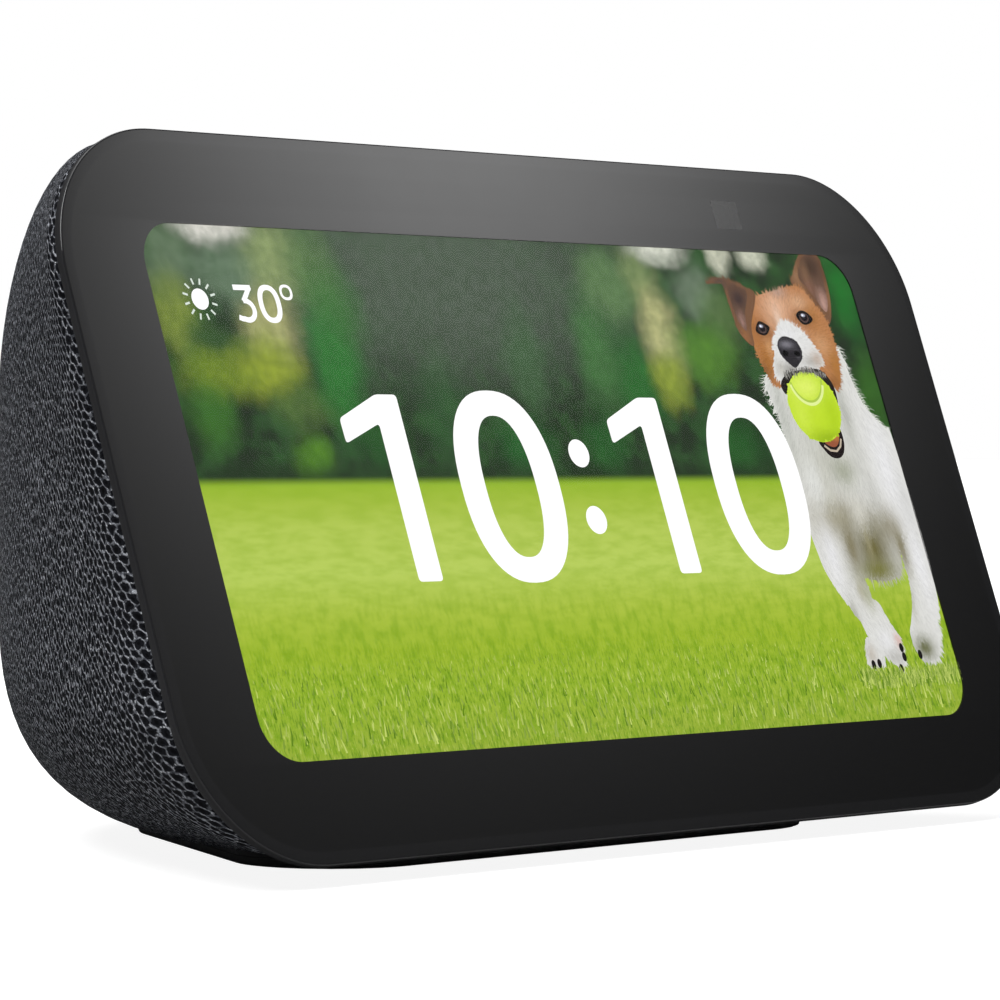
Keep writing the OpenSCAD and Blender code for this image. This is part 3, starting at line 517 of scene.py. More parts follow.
def make_border():
    """The glass with its ink: a bevelled plate with the two clear windows left open."""
    # How far in from the outline, and how deep, each row of the edge lies
    rows = [(BEVEL_W, 0.0), (BEVEL_W - 0.05, 0.0005), (0.26, 0.014), (0.18, 0.0155), (0.14, 0.018),
            (0.09, 0.032), (0.04, 0.065), (0.0, 0.13), (0.0, GLASS_T - 0.1), (0.03, GLASS_T - 0.03),
            (0.1, GLASS_T)]
    bevel_rows, arris_highlight_rows, painted_rows = range(0, 3), range(3, 7), range(7, len(rows) - 1)
    points, faces, count = [], [], 0
    for inset, depth in rows:
        ring = glass_ring(inset)
        count = len(ring)
        points.extend(on_screen(ring[:, 0], ring[:, 1], depth))
    faces += [tuple(reversed(f)) for f in ring_faces(count, len(rows))]
    holes = [window_outline(), camera_outline()]
    for (inset, depth), first, way in (
        (rows[0], 0, SCREEN_OUT),
        (rows[-1], (len(rows) - 1) * count, -SCREEN_OUT),
    ):
        index = list(range(first, first + count))
        for hole in holes:
            index += range(len(points), len(points) + len(hole))
            points.extend(on_screen(hole[:, 0], hole[:, 1], depth))
        fill = [tuple(index[i] for i in f) for f in flat_faces([glass_ring(inset)] + holes)]
        faces += facing(points, fill, way)
    # Walls of the two windows
    near = len(rows) * count
    far = near + sum(len(hole) for hole in holes)
    for hole in holes:
        n = len(hole)
        for i in range(n):
            k = (i + 1) % n
            faces.append((near + i, near + k, far + k, far + i))
        near += n
        far += n
    obj = piece("glass_border", points, faces, slot="glass")
    sharp_by_angle(obj, 40)
    obj.data.materials.append(border_look())
    # Painted light: the bevel's ink is paler as a painted reflection, and the arris's ink paler still as a
    # painted highlight along the glass's edge.
    obj.data.materials.append(border_look("glass_bevel_painted_reflection", 2.6))
    obj.data.materials.append(surface(
        "glass_edge_paint", srgb(33, 33, 35), roughness=0.55, grain=4, depth=0.004, Specular_IOR_Level=0.3))
    obj.data.materials.append(border_look("glass_arris_painted_highlight", 5))
    for index, band in enumerate((bevel_rows, painted_rows, arris_highlight_rows), 1):
        for face in obj.data.polygons[band[0] * count:(band[-1] + 1) * count]:
            face.material_index = index
    return obj


def make_panes():
    """The two clear windows of the glass: the display's and the camera's."""
    clear = piece("glass_window", *screen_slab(window_outline(), 0, PANE_T), slot="glass")
    sharp_by_angle(clear)
    clear.data.materials.append(pane_look("glass_window", (1, 1, 1), 0.12))
    camera = piece("camera_window", *screen_slab(camera_outline(), 0, PANE_T), slot="glass")
    sharp_by_angle(camera)
    camera.data.materials.append(pane_look("camera_window", (0.6, 0.6, 0.62), 1.15))


# ---------------------------------------------------------------------------------------
# The picture on the display
# ---------------------------------------------------------------------------------------

HORIZON = 0.8

# Soft patches of the blurred trees: middle, half sizes, colour and strength
TREE_PATCHES = [
    ((-15, 26), (34, 14), srgb(86, 97, 85), 0.9),
    ((-50.5, 31), (6.5, 2.4), srgb(216, 214, 205), 1.0),
    ((-58, 27), (5, 5), srgb(104, 124, 98), 0.9),
    ((-49, 25.5), (6, 4), srgb(106, 128, 104), 0.9),
    ((-42, 27), (5, 5), srgb(145, 162, 108), 0.9),
    ((-36, 26), (4, 6), srgb(96, 128, 78), 0.7),
    ((-59, 20), (3.5, 5), srgb(132, 150, 66), 0.8),
    ((-54, 17), (4, 3), srgb(62, 92, 52), 0.8),
    ((-45, 19), (4.4, 5), srgb(176, 176, 120), 0.95),
    ((-47, 14), (5.5, 4), srgb(146, 162, 54), 0.95),
    ((-43, 9), (5, 3), srgb(90, 118, 60), 0.7),
    ((-55, 13), (6, 3), srgb(124, 148, 48), 0.8),
    ((-57, 8), (4, 4), srgb(66, 118, 44), 0.7),
    ((-36, 15), (4, 9), srgb(52, 124, 54), 0.85),
    ((-33, 22), (4, 5), srgb(64, 116, 58), 0.6),
    ((-43, 3.4), (3.4, 2.4), srgb(86, 134, 42), 0.9),
    ((-32, 5), (3, 4), srgb(40, 88, 40), 0.7),
    ((-20, 9), (5, 6), srgb(52, 92, 52), 0.6),
    ((-8, 5), (5, 3.4), srgb(44, 102, 48), 0.8),
    ((-4, 16), (3, 7), srgb(72, 104, 70), 0.7),
    ((6, 5), (4, 4), srgb(44, 100, 46), 0.7),
    ((9, 17), (4, 8), srgb(72, 120, 66), 0.8),
    ((14, 26), (5, 5), srgb(98, 130, 84), 0.9),
    ((15, 13), (4, 6), srgb(48, 112, 50), 0.8),
    ((20.5, 27), (3.5, 4), srgb(130, 150, 98), 0.8),
    ((21.5, 19.5), (3.8, 6), srgb(180, 180, 126), 1.0),
    ((21, 13), (3.5, 4), srgb(142, 158, 60), 0.95),
    ((25, 31.2), (5.5, 2.2), srgb(214, 216, 202), 1.0),
    ((36.5, 30.4), (2.2, 3), srgb(205, 206, 186), 0.9),
    ((43, 30.6), (2.8, 2.2), srgb(208, 210, 190), 0.95),
    ((30, 25), (4, 4), srgb(118, 136, 114), 0.8),
    ((29, 17), (6, 4), srgb(92, 140, 52), 0.85),
    ((34, 22), (4, 4), srgb(100, 130, 74), 0.6),
    ((30, 5), (6, 4), srgb(40, 96, 42), 0.7),
    ((60, 26), (4, 6), srgb(36, 120, 46), 0.8),
    ((60, 12), (4, 6), srgb(60, 108, 38), 0.7),
]
# Height on the display and colour of the lawn there
LAWN_BANDS = [
    (-31, srgb(150, 172, 60)),
    (-24, srgb(152, 180, 52)),
    (-19, srgb(156, 182, 48)),
    (-15, srgb(168, 190, 66)),
    (-10, srgb(180, 202, 92)),
    (-5, srgb(176, 198, 86)),
    (-2, srgb(162, 188, 66)),
    (0, srgb(150, 182, 52)),
    (1.2, srgb(120, 160, 44)),
]


def picture_look():
    """A blurred park: trees above, a lawn below. u and v are the display's own, in millimetres."""
    n = Nodes("screen_picture")
    uv = n.uv()
    split = n.put("ShaderNodeSeparateXYZ", {0: uv})
    v = split.outputs[1]
    # Leaves: a wandering place makes the round patches ragged
    wander = n.put("ShaderNodeTexNoise", {"Vector": uv, "Scale": 0.16, "Detail": 3.0, "Roughness": 0.55})
    shift = n.vector("SUBTRACT", wander.outputs["Color"], (0.5, 0.5, 0.5))
    shift = n.vector("MULTIPLY", shift, (5, 5, 0))
    place = n.vector("ADD", uv, shift)
    leaves = n.noise(uv, 0.22, 4, 0.6)
    trees = n.mix(n.ramp(leaves, 0.38, 0.68), srgb(38, 48, 36), srgb(52, 86, 48))
    for middle, half, colour, strength in TREE_PATCHES:
        away = n.vector("SUBTRACT", place, (*middle, 0))
        away = n.vector("MULTIPLY", away, (1 / half[0], 1 / half[1], 0))
        near = n.ramp(n.vector("LENGTH", away), 1.45, 0.25, 0, strength)
        trees = n.mix(near, trees, colour)
    mottle = n.noise(uv, 0.7, 3, 0.6)
    trees = n.mix(n.ramp(mottle, 0.3, 0.75, 0.3, 0), trees, srgb(34, 64, 30))
    trees = n.mix(n.ramp(v, 4.0, 1.0, 0, 0.6), trees, srgb(36, 54, 32))
    # Lawn: bands of colour, flat streaks far away and upright blades near
    bands = n.put("ShaderNodeValToRGB", {0: n.ramp(v, LAWN_BANDS[0][0], LAWN_BANDS[-1][0], smooth=False)})
    stops = bands.color_ramp.elements
    low, high = LAWN_BANDS[0][0], LAWN_BANDS[-1][0]
    while len(stops) < len(LAWN_BANDS):
        stops.new(0.5)
    for stop, (height, colour) in zip(stops, LAWN_BANDS):
        stop.position = (height - low) / (high - low)
        stop.color = (*colour, 1)
    lawn = bands.outputs[0]
    streaks = n.noise(uv, 0.5, 3, 0.6, (0.5, 1.6, 1))
    lawn = n.mix(n.ramp(streaks, 0.35, 0.7, 0, 0.35), lawn, srgb(132, 168, 30))
    tufts = n.noise(uv, 0.55, 4, 0.65, (1.3, 0.6, 1))
    near_us = n.ramp(v, -9, -19)
    lawn = n.mix(n.math("MULTIPLY", near_us, n.ramp(tufts, 0.42, 0.66, 0, 0.6)), lawn, srgb(118, 158, 26))
    blades = n.noise(uv, 1.0, 3, 0.7, (3.2, 0.7, 1))
    close = n.ramp(v, -16, -24)
    lawn = n.mix(n.math("MULTIPLY", close, n.ramp(blades, 0.5, 0.36, 0, 0.7)), lawn, srgb(84, 128, 22))
    lawn = n.mix(n.math("MULTIPLY", close, n.ramp(blades, 0.56, 0.7, 0, 0.7)), lawn, srgb(196, 208, 112))
    scene_colour = n.mix(n.ramp(v, HORIZON - 0.6, HORIZON + 0.7), lawn, trees)
    n.set(Base_Color=(0.004, 0.004, 0.004), Roughness=0.6, Specular_IOR_Level=0.0,
          Emission_Color=scene_colour, Emission_Strength=SCREEN_LIGHT)
    return n.material


SCREEN_LIGHT = 1.06


def paint_look():
    """What is drawn over the picture: its colours are on its points."""
    n = Nodes("screen_paint")
    colour = n.put("ShaderNodeVertexColor", layer_name="paint").outputs[0]
    n.set(Base_Color=(0.004, 0.004, 0.004), Roughness=0.6, Specular_IOR_Level=0.0,
          Emission_Color=colour, Emission_Strength=SCREEN_LIGHT)
    return n.material


def make_display():
    """The lit panel: it fills the glass's window and steps out to the panel's own size behind."""
    low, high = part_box("lcd_panel")
    corners = node_mesh("lcd_panel")[0]
    back = front_depth - (corners @ SCREEN_OUT).min()
    v0 = (corners @ SCREEN_UP).min() - SCREEN_ORIGIN @ SCREEN_UP
    v1 = (corners @ SCREEN_UP).max() - SCREEN_ORIGIN @ SCREEN_UP
    front = window_outline(-0.01)
    panel = rounded_rect((high[0] - low[0]) / MM, v1 - v0, 0.4, (0, (v0 + v1) / 2), 20)
    parts = [screen_slab(front, PICTURE_DEPTH, GLASS_T), screen_slab(panel, GLASS_T + 0.01, back)]
    points, faces = join_meshes(parts)
    uv = np.vstack([front, front, panel, panel])
    obj = piece("screen_picture", points, faces, slot="display", uv=uv)
    sharp_by_angle(obj)
    obj.data.materials.append(picture_look())
    return obj


class Paint:
    """Flat shapes and strokes that lie on the display, each in front of the one before."""

    def __init__(self, depth):
        self.depth = depth
        self.points, self.faces, self.colours = [], [], []

    def add(self, outline, faces, colours):
        start = len(self.points)
        self.points.extend(on_screen(outline[:, 0], outline[:, 1], self.depth))
        self.faces += [tuple(start + i for i in f) for f in faces]
        self.colours.extend(colours)

    def shape(self, outline, colour, holes=()):
        """A filled outline. colour is one colour, or a function of u and v."""
        outlines = [np.asarray(outline)] + [np.asarray(h) for h in holes]
        joined = np.vstack(outlines)
        colours = [colour(u, v) if callable(colour) else colour for u, v in joined]
        self.add(joined, flat_faces(outlines), colours)

    def stroke(self, root, angle, length, width, colour, bend=0.0):
        """A tapered hair or blade: a pointed strip that bends by bend radians."""
        a0, a1 = angle, angle + bend
        middle = root + 0.55 * length * np.array([math.cos(a0), math.sin(a0)])
        tip = middle + 0.45 * length * np.array([math.cos(a1), math.sin(a1)])
        side = width / 2 * np.array([-math.sin(a0), math.cos(a0)])
        outline = np.array([root - side, root + side, middle + side * 0.8, middle - side * 0.8, tip])
        self.add(outline, [(0, 1, 2, 3), (3, 2, 4)], [colour] * 5)

    def finish(self, name, look):
        points = np.array(self.points)
        obj = piece(name, points, facing(points, self.faces, SCREEN_OUT), slot="display", smooth=False,
                    colours=np.array(self.colours))
        obj.data.materials.append(look)
        return obj


def inside(outline, places):
    """Which places lie inside a closed outline."""
    x, y = places[:, 0], places[:, 1]
    result = np.zeros(len(places), bool)
    for (x0, y0), (x1, y1) in zip(outline, np.roll(outline, -1, 0)):
        crosses = (y0 > y) != (y1 > y)
        with np.errstate(divide="ignore", invalid="ignore"):
            result ^= crosses & (x < (x1 - x0) * (y - y0) / (y1 - y0) + x0)
    return result


def scatter(outline, count, rng):
    """Places spread at random inside an outline."""
    low, high = outline.min(0), outline.max(0)
    found = np.zeros((0, 2))
    while len(found) < count:
        places = low + rng.random((count * 2, 2)) * (high - low)
        found = np.vstack([found, places[inside(outline, places)]])
    return found[:count]


def mixed(a, b, t):
    return tuple((1 - t) * x + t * y for x, y in zip(a, b))


# --- Digits and the weather sign ---------------------------------------------------------

WHITE = srgb(254, 254, 254)


def superellipse(middle, half_w, half_h, power=2.35, steps=64):
    points = []
    for i in range(steps):
        a = TAU * i / steps
        c, s = math.cos(a), math.sin(a)
        points.append((
            middle[0] + half_w * math.copysign(abs(c) ** (2 / power), c),
            middle[1] + half_h * math.copysign(abs(s) ** (2 / power), s),
        ))
    return np.array(points)


def round_corners(points, r, steps=4):
    """A polygon with each corner cut round."""
    p = np.array(points, float)
    out = []
    for i in range(len(p)):
        a, b, c = p[i - 1], p[i], p[(i + 1) % len(p)]
        to_a, to_c = (a - b) / np.linalg.norm(a - b), (c - b) / np.linalg.norm(c - b)
        start, end = b + to_a * r, b + to_c * r
        for k in range(steps + 1):
            t = k / steps
            out.append((1 - t) ** 2 * start + 2 * t * (1 - t) * b + t ** 2 * end)
    return np.array(out)


def draw_one(paint, right):
    """The digit 1; right is the right edge of its stem."""
    stem = 3.9
    outline = [
        (right, -11.2), (right, 11.1), (right - 3.4, 11.1), (right - 10, 8.2),
        (right - 9.9, 5.2), (right - stem, 7.6), (right - stem, -11.2),
    ]
    paint.shape(round_corners(outline, 0.55), WHITE)


def draw_zero(paint, middle, half=(8.35, 11.75), thick=(4.05, 3.1)):
    outer = superellipse(middle, *half)
    inner = superellipse(middle, half[0] - thick[0], half[1] - thick[1])
    paint.shape(outer, WHITE, [inner])


def draw_clock(paint):
    draw_one(paint, -27.8)
    draw_zero(paint, (-12.55, 0))
    for v in (4.0, -4.3):
        paint.shape(superellipse((0.65, v), 1.75, 1.75, 2, 32), WHITE)
    draw_one(paint, 17.1)
    draw_zero(paint, (32.25, 0))


def arc(middle, half_w, half_h, start, end, steps=14):
    """Points of an elliptical arc between two angles in degrees."""
    angles = np.radians(np.linspace(start, end, steps))
    return np.stack([middle[0] + half_w * np.cos(angles), middle[1] + half_h * np.sin(angles)], -1)


def ribbon(line, width):
    """The outline of a band of a width along a line of points."""
    line = np.asarray(line)
    along = np.gradient(line, axis=0)
    along /= np.linalg.norm(along, axis=1)[:, None]
    side = np.stack([-along[:, 1], along[:, 0]], -1) * width / 2
    return np.vstack([line - side, (line + side)[::-1]])


def draw_weather(paint):
    sun = (-54.7, 22.0)
    paint.shape(superellipse(sun, 1.25, 1.25, 2, 32), WHITE)
    for i in range(12):
        a = TAU * (i + 0.5) / 12
        way = np.array([math.cos(a), math.sin(a)])
        ray = ribbon([sun + way * 1.75, sun + way * 2.1, sun + way * 2.5], 0.26)
        paint.shape(ray, srgb(214, 224, 214))
    # The 3: an upper stroke with a flat top, and a lower bowl
    thick = 0.64
    paint.shape(ribbon([(-49.3, 23.55), (-48, 23.55), (-46.6, 23.55)], thick), WHITE)
    paint.shape(ribbon([(-46.75, 23.7), (-47.4, 22.85), (-48.15, 21.9)], thick), WHITE)
    paint.shape(ribbon(arc((-48.0, 20.85), 1.2, 1.15, 100, -118, 22), thick), WHITE)
    paint.shape(ribbon([(-48.35, 19.8), (-48.85, 19.82), (-49.4, 20.0)], thick), WHITE)
    draw_zero(paint, (-44.15, 21.7), (1.72, 2.28), (0.72, 0.64))
    draw_zero(paint, (-41.2, 23.15), (0.98, 0.94), (0.36, 0.34))


# --- Grass blades ------------------------------------------------------------------------


def draw_grass(paint, rng, count, rows, window):
    """Blades in front, longer towards the bottom edge. rows are the lowest and highest roots."""
    roots = scatter(window, count, rng)
    roots = roots[(roots[:, 1] > rows[0]) & (roots[:, 1] < rows[1])]
    for root in roots[np.argsort(-roots[:, 1])]:
        nearness = (rows[1] - root[1]) / (rows[1] - rows[0])
        length = (0.5 + 1.4 * nearness) * (0.6 + 0.8 * rng.random())
        angle = TAU / 4 + 0.7 * (rng.random() - 0.5)
        light = rng.random()
        colour = mixed(srgb(86, 124, 20), srgb(196, 212, 110), light ** 1.2)
        if root[1] + length < DISPLAY_H / 2:
            paint.stroke(root, angle, length, 0.12 + 0.16 * nearness, colour, 0.8 * (rng.random() - 0.5))


# --- The dog -----------------------------------------------------------------------------

TAN = srgb(180, 124, 80)
TAN_LIGHT = srgb(216, 174, 140)
DARK = srgb(26, 24, 24)

BODY = [
    (39.2, 14), (39.8, 9), (40.2, 4), (40.4, -1), (40.2, -6), (42, -9), (46, -11), (47.5, -12.2),
    (50, -12.9), (53.5, -12.9), (55.6, -11.6), (57, -9.5), (61.5, -12), (61.6, 5.6), (60.6, 7.4),
    (58.6, 9.2), (57.2, 11.4), (56.4, 14.5), (55.4, 18.4), (52, 17), (46, 16),
]
LEG_LEFT = [
    (40.1, -4), (40.1, -9.8), (41.2, -13), (43.2, -16), (44.6, -18), (45.4, -20.2), (47.2, -22.4),
    (49.2, -23.8), (50.4, -24.6), (51.4, -23.6), (51.7, -21.6), (51.2, -19.8), (50.1, -18), (49.4, -16),
    (47.8, -14.9), (47, -13.2), (46.8, -10), (46, -5),
]
LEG_RIGHT = [
    (61.6, -5), (61.6, -15), (60.4, -18), (59.9, -20.4), (58.7, -23), (57.4, -23.9), (55.4, -23.8),
    (54.2, -22.4), (53.9, -20), (54.8, -18.4), (56, -16), (56.7, -13), (57, -9),
]
LEG_BACK = [(46.2, -12), (47.8, -12.6), (48.2, -15.4), (47.4, -17), (46.6, -15)]
PAW_BACK = [(45.2, -20.2), (44.2, -21.6), (43.9, -23.2), (45, -24.2), (47, -24), (47.4, -22.4)]
HEAD = [
    (41.9, 24.9), (39.2, 23.4), (38.6, 21), (38.8, 18), (39.4, 15.6), (40.4, 13.4), (42, 12.8),
    (44, 14.4), (47, 15.4), (50.6, 15.2), (52.4, 13), (53, 12.4), (54.2, 13.8), (54.9, 16.4),
    (55.1, 19), (54.8, 21.6), (53.4, 23.8), (51, 26.4), (48, 26.2), (45, 25.6),
]
MUZZLE = [
    (44.4, 20.6), (43, 19), (42.2, 16.8), (41.3, 14.6), (42.4, 13.4), (44, 14.2), (46.4, 15.1),
    (48.5, 15.4), (50.2, 15.4), (51.4, 15.9), (51.6, 17), (50.4, 18.7), (49.2, 20.2), (47.6, 21.2),
    (45.8, 21.6),
]
EAR_LEFT = [
    (41.8, 25), (40.4, 26), (38, 26.8), (36, 27.2), (34.6, 27.2), (32.8, 26.4), (34.6, 26.4),
    (36, 26.2), (36.1, 24), (36.4, 21), (37, 19.4), (38.8, 18.2), (39.4, 21),
]
EAR_LEFT_INNER = [
    (40.2, 25.2), (38.6, 26.1), (36.8, 26), (36.7, 23.6), (37.1, 21.4), (38.2, 20.2), (38.8, 22.6),
]
EAR_RIGHT = [
    (49.8, 26.8), (51, 28.6), (52.4, 30.5), (53.4, 31), (56.4, 31), (57, 29), (57, 26.5), (56.6, 24.2),
    (55.7, 22), (54.6, 21.4), (53.4, 23.6),
]
EAR_RIGHT_INNER = [
    (51.6, 27.6), (52.8, 29.8), (54, 30.8), (56, 30.6), (56.4, 28), (56.2, 25), (55.4, 23.2),
    (54.6, 23.6), (53, 26),
]
NOSE = [
    (43.4, 18), (43.7, 18.9), (44.8, 19.5), (46, 19.5), (47.4, 18.9), (47.9, 17.8), (47.6, 16.7),
    (46.7, 15.9), (45.7, 15.4), (44.7, 16), (43.7, 17),
]
LIP = [
    (41.9, 12.8), (42.5, 13.8), (44.2, 14.7), (46.6, 15.1), (49, 15.3), (50.7, 15.1), (52, 13.9),
    (52.5, 12.5), (52.3, 10.6), (51.7, 11.6), (51, 13.4), (48, 14.4), (45, 14.2), (43.2, 12.4),
    (42.4, 11.8),
]
JAW = [
    (46.4, 5.6), (47, 4.4), (48, 3.5), (49.4, 3.3), (50.6, 3.9), (51.3, 5.2), (51.4, 6.8), (51, 7.2),
    (49, 6),
]
TEETH = [(47.2, 5.0), (48.2, 4.35), (49.4, 4.25), (50.4, 4.9), (50.9, 5.9)]
TONGUE = [(47.4, 5.6), (48.4, 4.9), (49.6, 4.9), (50.5, 5.8), (50.6, 6.8), (49, 6.4)]
BALL = ((47.35, 10.15), 4.95, 4.7)

# Light and shade on the coat: middle, half sizes, colour and strength
COAT = [
    ((46, 3), (6, 3.4), srgb(186, 186, 174), 0.75),
    ((45.4, -4.6), (5, 2.8), srgb(150, 144, 118), 0.85),
    ((55.4, -6), (3.4, 2.6), srgb(146, 140, 118), 0.85),
    ((51.2, -9), (4.4, 4.2), srgb(104, 98, 56), 1.0),
    ((51, -12), (4, 1.6), srgb(112, 112, 44), 0.9),
    ((50.3, -4.4), (1.4, 2.4), srgb(214, 212, 202), 0.6),
    ((50.6, -8.6), (0.6, 2.2), srgb(164, 158, 126), 0.5),
    ((40.6, 9), (1.2, 7), srgb(170, 174, 164), 0.6),
    ((53.2, 9), (1.4, 5), srgb(166, 168, 158), 0.7),
    ((44, 9), (2.4, 5), srgb(186, 188, 178), 0.6),
    ((49.6, 1.2), (2.6, 2), srgb(154, 158, 138), 0.8),
    ((45.6, -1), (1.2, 3), srgb(192, 192, 180), 0.6),
    ((54.4, -1), (1, 4), srgb(188, 188, 182), 0.6),
    ((58.6, 2), (2.4, 7), srgb(230, 230, 232), 0.8),
    ((60.6, -4), (0.9, 5), srgb(196, 196, 194), 0.5),
    ((43, 0), (1.6, 4), srgb(224, 226, 222), 0.5),
    ((57.2, -9), (1, 3), srgb(118, 110, 74), 0.85),
    ((47, -8.6), (1.2, 3), srgb(120, 112, 78), 0.85),
    ((42.8, -10), (1.4, 4.4), srgb(230, 230, 232), 0.8),
    ((60, -11), (1.4, 6), srgb(230, 230, 232), 0.8),
    ((44, -17.4), (0.9, 2.2), srgb(160, 160, 148), 0.7),
    ((46.6, -14.4), (0.9, 1.6), srgb(162, 158, 132), 0.7),
    ((47.8, -15), (1, 2), srgb(150, 154, 112), 0.6),
    ((48.8, -21), (1.6, 1.6), srgb(226, 226, 228), 0.7),
    ((49.8, -23.2), (1.8, 1), srgb(160, 158, 152), 0.6),
    ((51.2, -21), (0.7, 1), srgb(206, 160, 148), 0.7),
    ((56, -15), (0.7, 3), srgb(150, 150, 122), 0.7),
    ((56.2, -22.2), (2, 1.6), srgb(92, 96, 50), 0.95),
    ((45, -22.6), (1, 1.4), srgb(180, 170, 156), 0.7),
]
FACE = [
    ((45.2, 23.6), (3.0, 2.4), srgb(222, 178, 148), 0.9),
    ((50.2, 24.4), (2.2, 1.2), TAN_LIGHT, 0.7),
    ((45.0, 21.2), (0.8, 2.0), srgb(230, 204, 184), 0.9),
    ((46.4, 25.8), (1.6, 0.8), srgb(176, 150, 136), 0.8),
    ((39.4, 21.5), (1, 3), srgb(170, 112, 58), 0.7),
    ((40.6, 16.4), (1.5, 2.6), srgb(160, 104, 44), 0.8),
    ((41.6, 18.2), (0.8, 1.6), srgb(206, 156, 108), 0.7),
    ((39.6, 14.6), (1, 1.4), srgb(112, 76, 44), 0.6),
    ((54.2, 16), (1.2, 3), srgb(166, 112, 50), 0.8),
    ((52.4, 18.6), (1.8, 1.6), srgb(202, 154, 112), 0.8),
    ((52.2, 22.6), (1.2, 2.0), srgb(174, 120, 66), 0.7),
    ((48.4, 20.4), (1.6, 1.0), srgb(216, 172, 142), 0.8),
    ((41.4, 20.5), (1.9, 1.3), srgb(132, 86, 54), 0.85),
    ((50.2, 22.1), (2.0, 1.2), srgb(134, 88, 56), 0.75),
    ((43.3, 21.6), (0.9, 1.2), srgb(206, 160, 126), 0.7),
    ((53, 13.4), (1.4, 1), srgb(140, 92, 48), 0.7),
]
NEAR_NOSE = [
    ((44.6, 15), (2, 1), srgb(120, 116, 108), 0.7),
    ((49.4, 16.2), (1.8, 0.9), srgb(150, 146, 138), 0.6),
    ((50.9, 16.6), (1.2, 1.2), srgb(178, 150, 126), 0.6),
    ((42.6, 15.2), (1, 1.4), srgb(186, 182, 172), 0.6),
    ((45.8, 20), (2, 0.8), srgb(226, 226, 228), 0.7),
]
EARS = [
    ((55.6, 28.5), (1.6, 2.6), srgb(72, 52, 42), 0.9),
    ((51.2, 28), (1.2, 1.6), srgb(148, 112, 82), 0.8),
    ((56.6, 25), (0.8, 2.4), srgb(142, 104, 72), 0.8),
    ((35.5, 26.6), (1.6, 0.7), srgb(76, 66, 62), 0.9),
    ((37.6, 19.6), (1, 1.2), srgb(150, 102, 66), 0.8),
]
IN_EARS = [
    ((54.6, 29.4), (1.4, 1.6), srgb(70, 54, 44), 0.9),
    ((53.0, 28.4), (0.8, 1.6), srgb(128, 98, 74), 0.8),
    ((55.2, 24.4), (1.0, 1.8), srgb(188, 150, 138), 0.9),
    ((53.2, 26.4), (1, 1.2), srgb(136, 98, 82), 0.7),
    ((38.2, 24.6), (1.3, 1.2), srgb(62, 50, 50), 0.9),
    ((37.8, 21.6), (0.7, 1.2), srgb(158, 124, 114), 0.8),
]
FUZZ = [
    ((46.6, 12.8), (3.4, 1.7), srgb(222, 240, 110), 0.9),
    ((44.4, 9), (1.6, 3), srgb(206, 230, 80), 0.7),
    ((50.6, 9.4), (1.6, 3.6), srgb(170, 204, 30), 0.7),
    ((48.6, 5.8), (4, 1.3), srgb(140, 172, 24), 0.8),
]


def soft(u, v, middle, half):
    """1 at the middle of an ellipse, about a third at its edge and near 0 at twice that."""
    d = math.hypot((u - middle[0]) / half[0], (v - middle[1]) / half[1])
    return math.exp(-d * d)


def shaded(base, patches):
    """A colour at each place: the base with soft patches over it."""

    def colour_at(u, v):
        colour = base
        for middle, half, other, strength in patches:
            colour = mixed(colour, other, strength * soft(u, v, middle, half))
        return colour

    return colour_at


coat_colour = shaded(srgb(216, 216, 212), COAT)
face_colour = shaded(TAN, FACE)
muzzle_colour = shaded(srgb(222, 222, 220), NEAR_NOSE)
ear_colour = shaded(srgb(116, 84, 62), EARS)
inner_ear_colour = shaded(srgb(98, 74, 60), IN_EARS)
nose_colour = shaded(srgb(44, 42, 46), [
    ((45.2, 18.5), (1.3, 0.5), srgb(132, 130, 138), 0.85),
    ((46.9, 17.2), (0.3, 0.5), srgb(122, 120, 126), 0.7),
])
ball_colour = shaded(srgb(190, 220, 48), FUZZ)


def down(u, v):
    return -TAU / 4 + 0.06 * (u - 50)


def leaning(angle):
    return lambda u, v: TAU / 4 + angle


def from_nose(u, v):
    """Hair on a face lies away from the nose."""
    return math.atan2(v - 18.5, u - 46)


def hairs(paint, rng, outline, count, colour_at, flow, length, width, spread, contrast):
    """Strokes over an area, each with the colour of its place."""
    roots = scatter(outline, count, rng)
    for root in roots[np.argsort(-roots[:, 1])]:
        shade = 1 - contrast + 1.5 * contrast * rng.random()
        angle = flow(*root) + spread * (rng.random() - 0.5) * 2
        tip = root + length * np.array([math.cos(angle), math.sin(angle)])
        colour = tuple(min(c * shade, 1) for c in colour_at(*(0.4 * root + 0.6 * tip)))
        if abs(tip[0]) < DISPLAY_W / 2 - 0.2 and abs(tip[1]) < DISPLAY_H / 2 - 0.2:
            paint.stroke(root, angle, length * (0.6 + 0.6 * rng.random()), width, colour,
                         0.5 * (rng.random() - 0.5))


def mosaic(paint, outline, colour_at, cell=0.5):
    """Small squares over an area, each with the colour of its place."""
    low, high = outline.min(0), outline.max(0)
    across, up = (np.arange(a, b, cell) for a, b in zip(low, high))
    places = np.array([(u, v) for u in across for v in up])
    corners = np.array([(0, 0), (cell, 0), (cell, cell), (0, cell)])
    whole = np.all([inside(outline, places + corner) for corner in corners], axis=0)
    for place in places[whole]:
        paint.shape(place + corners, colour_at)


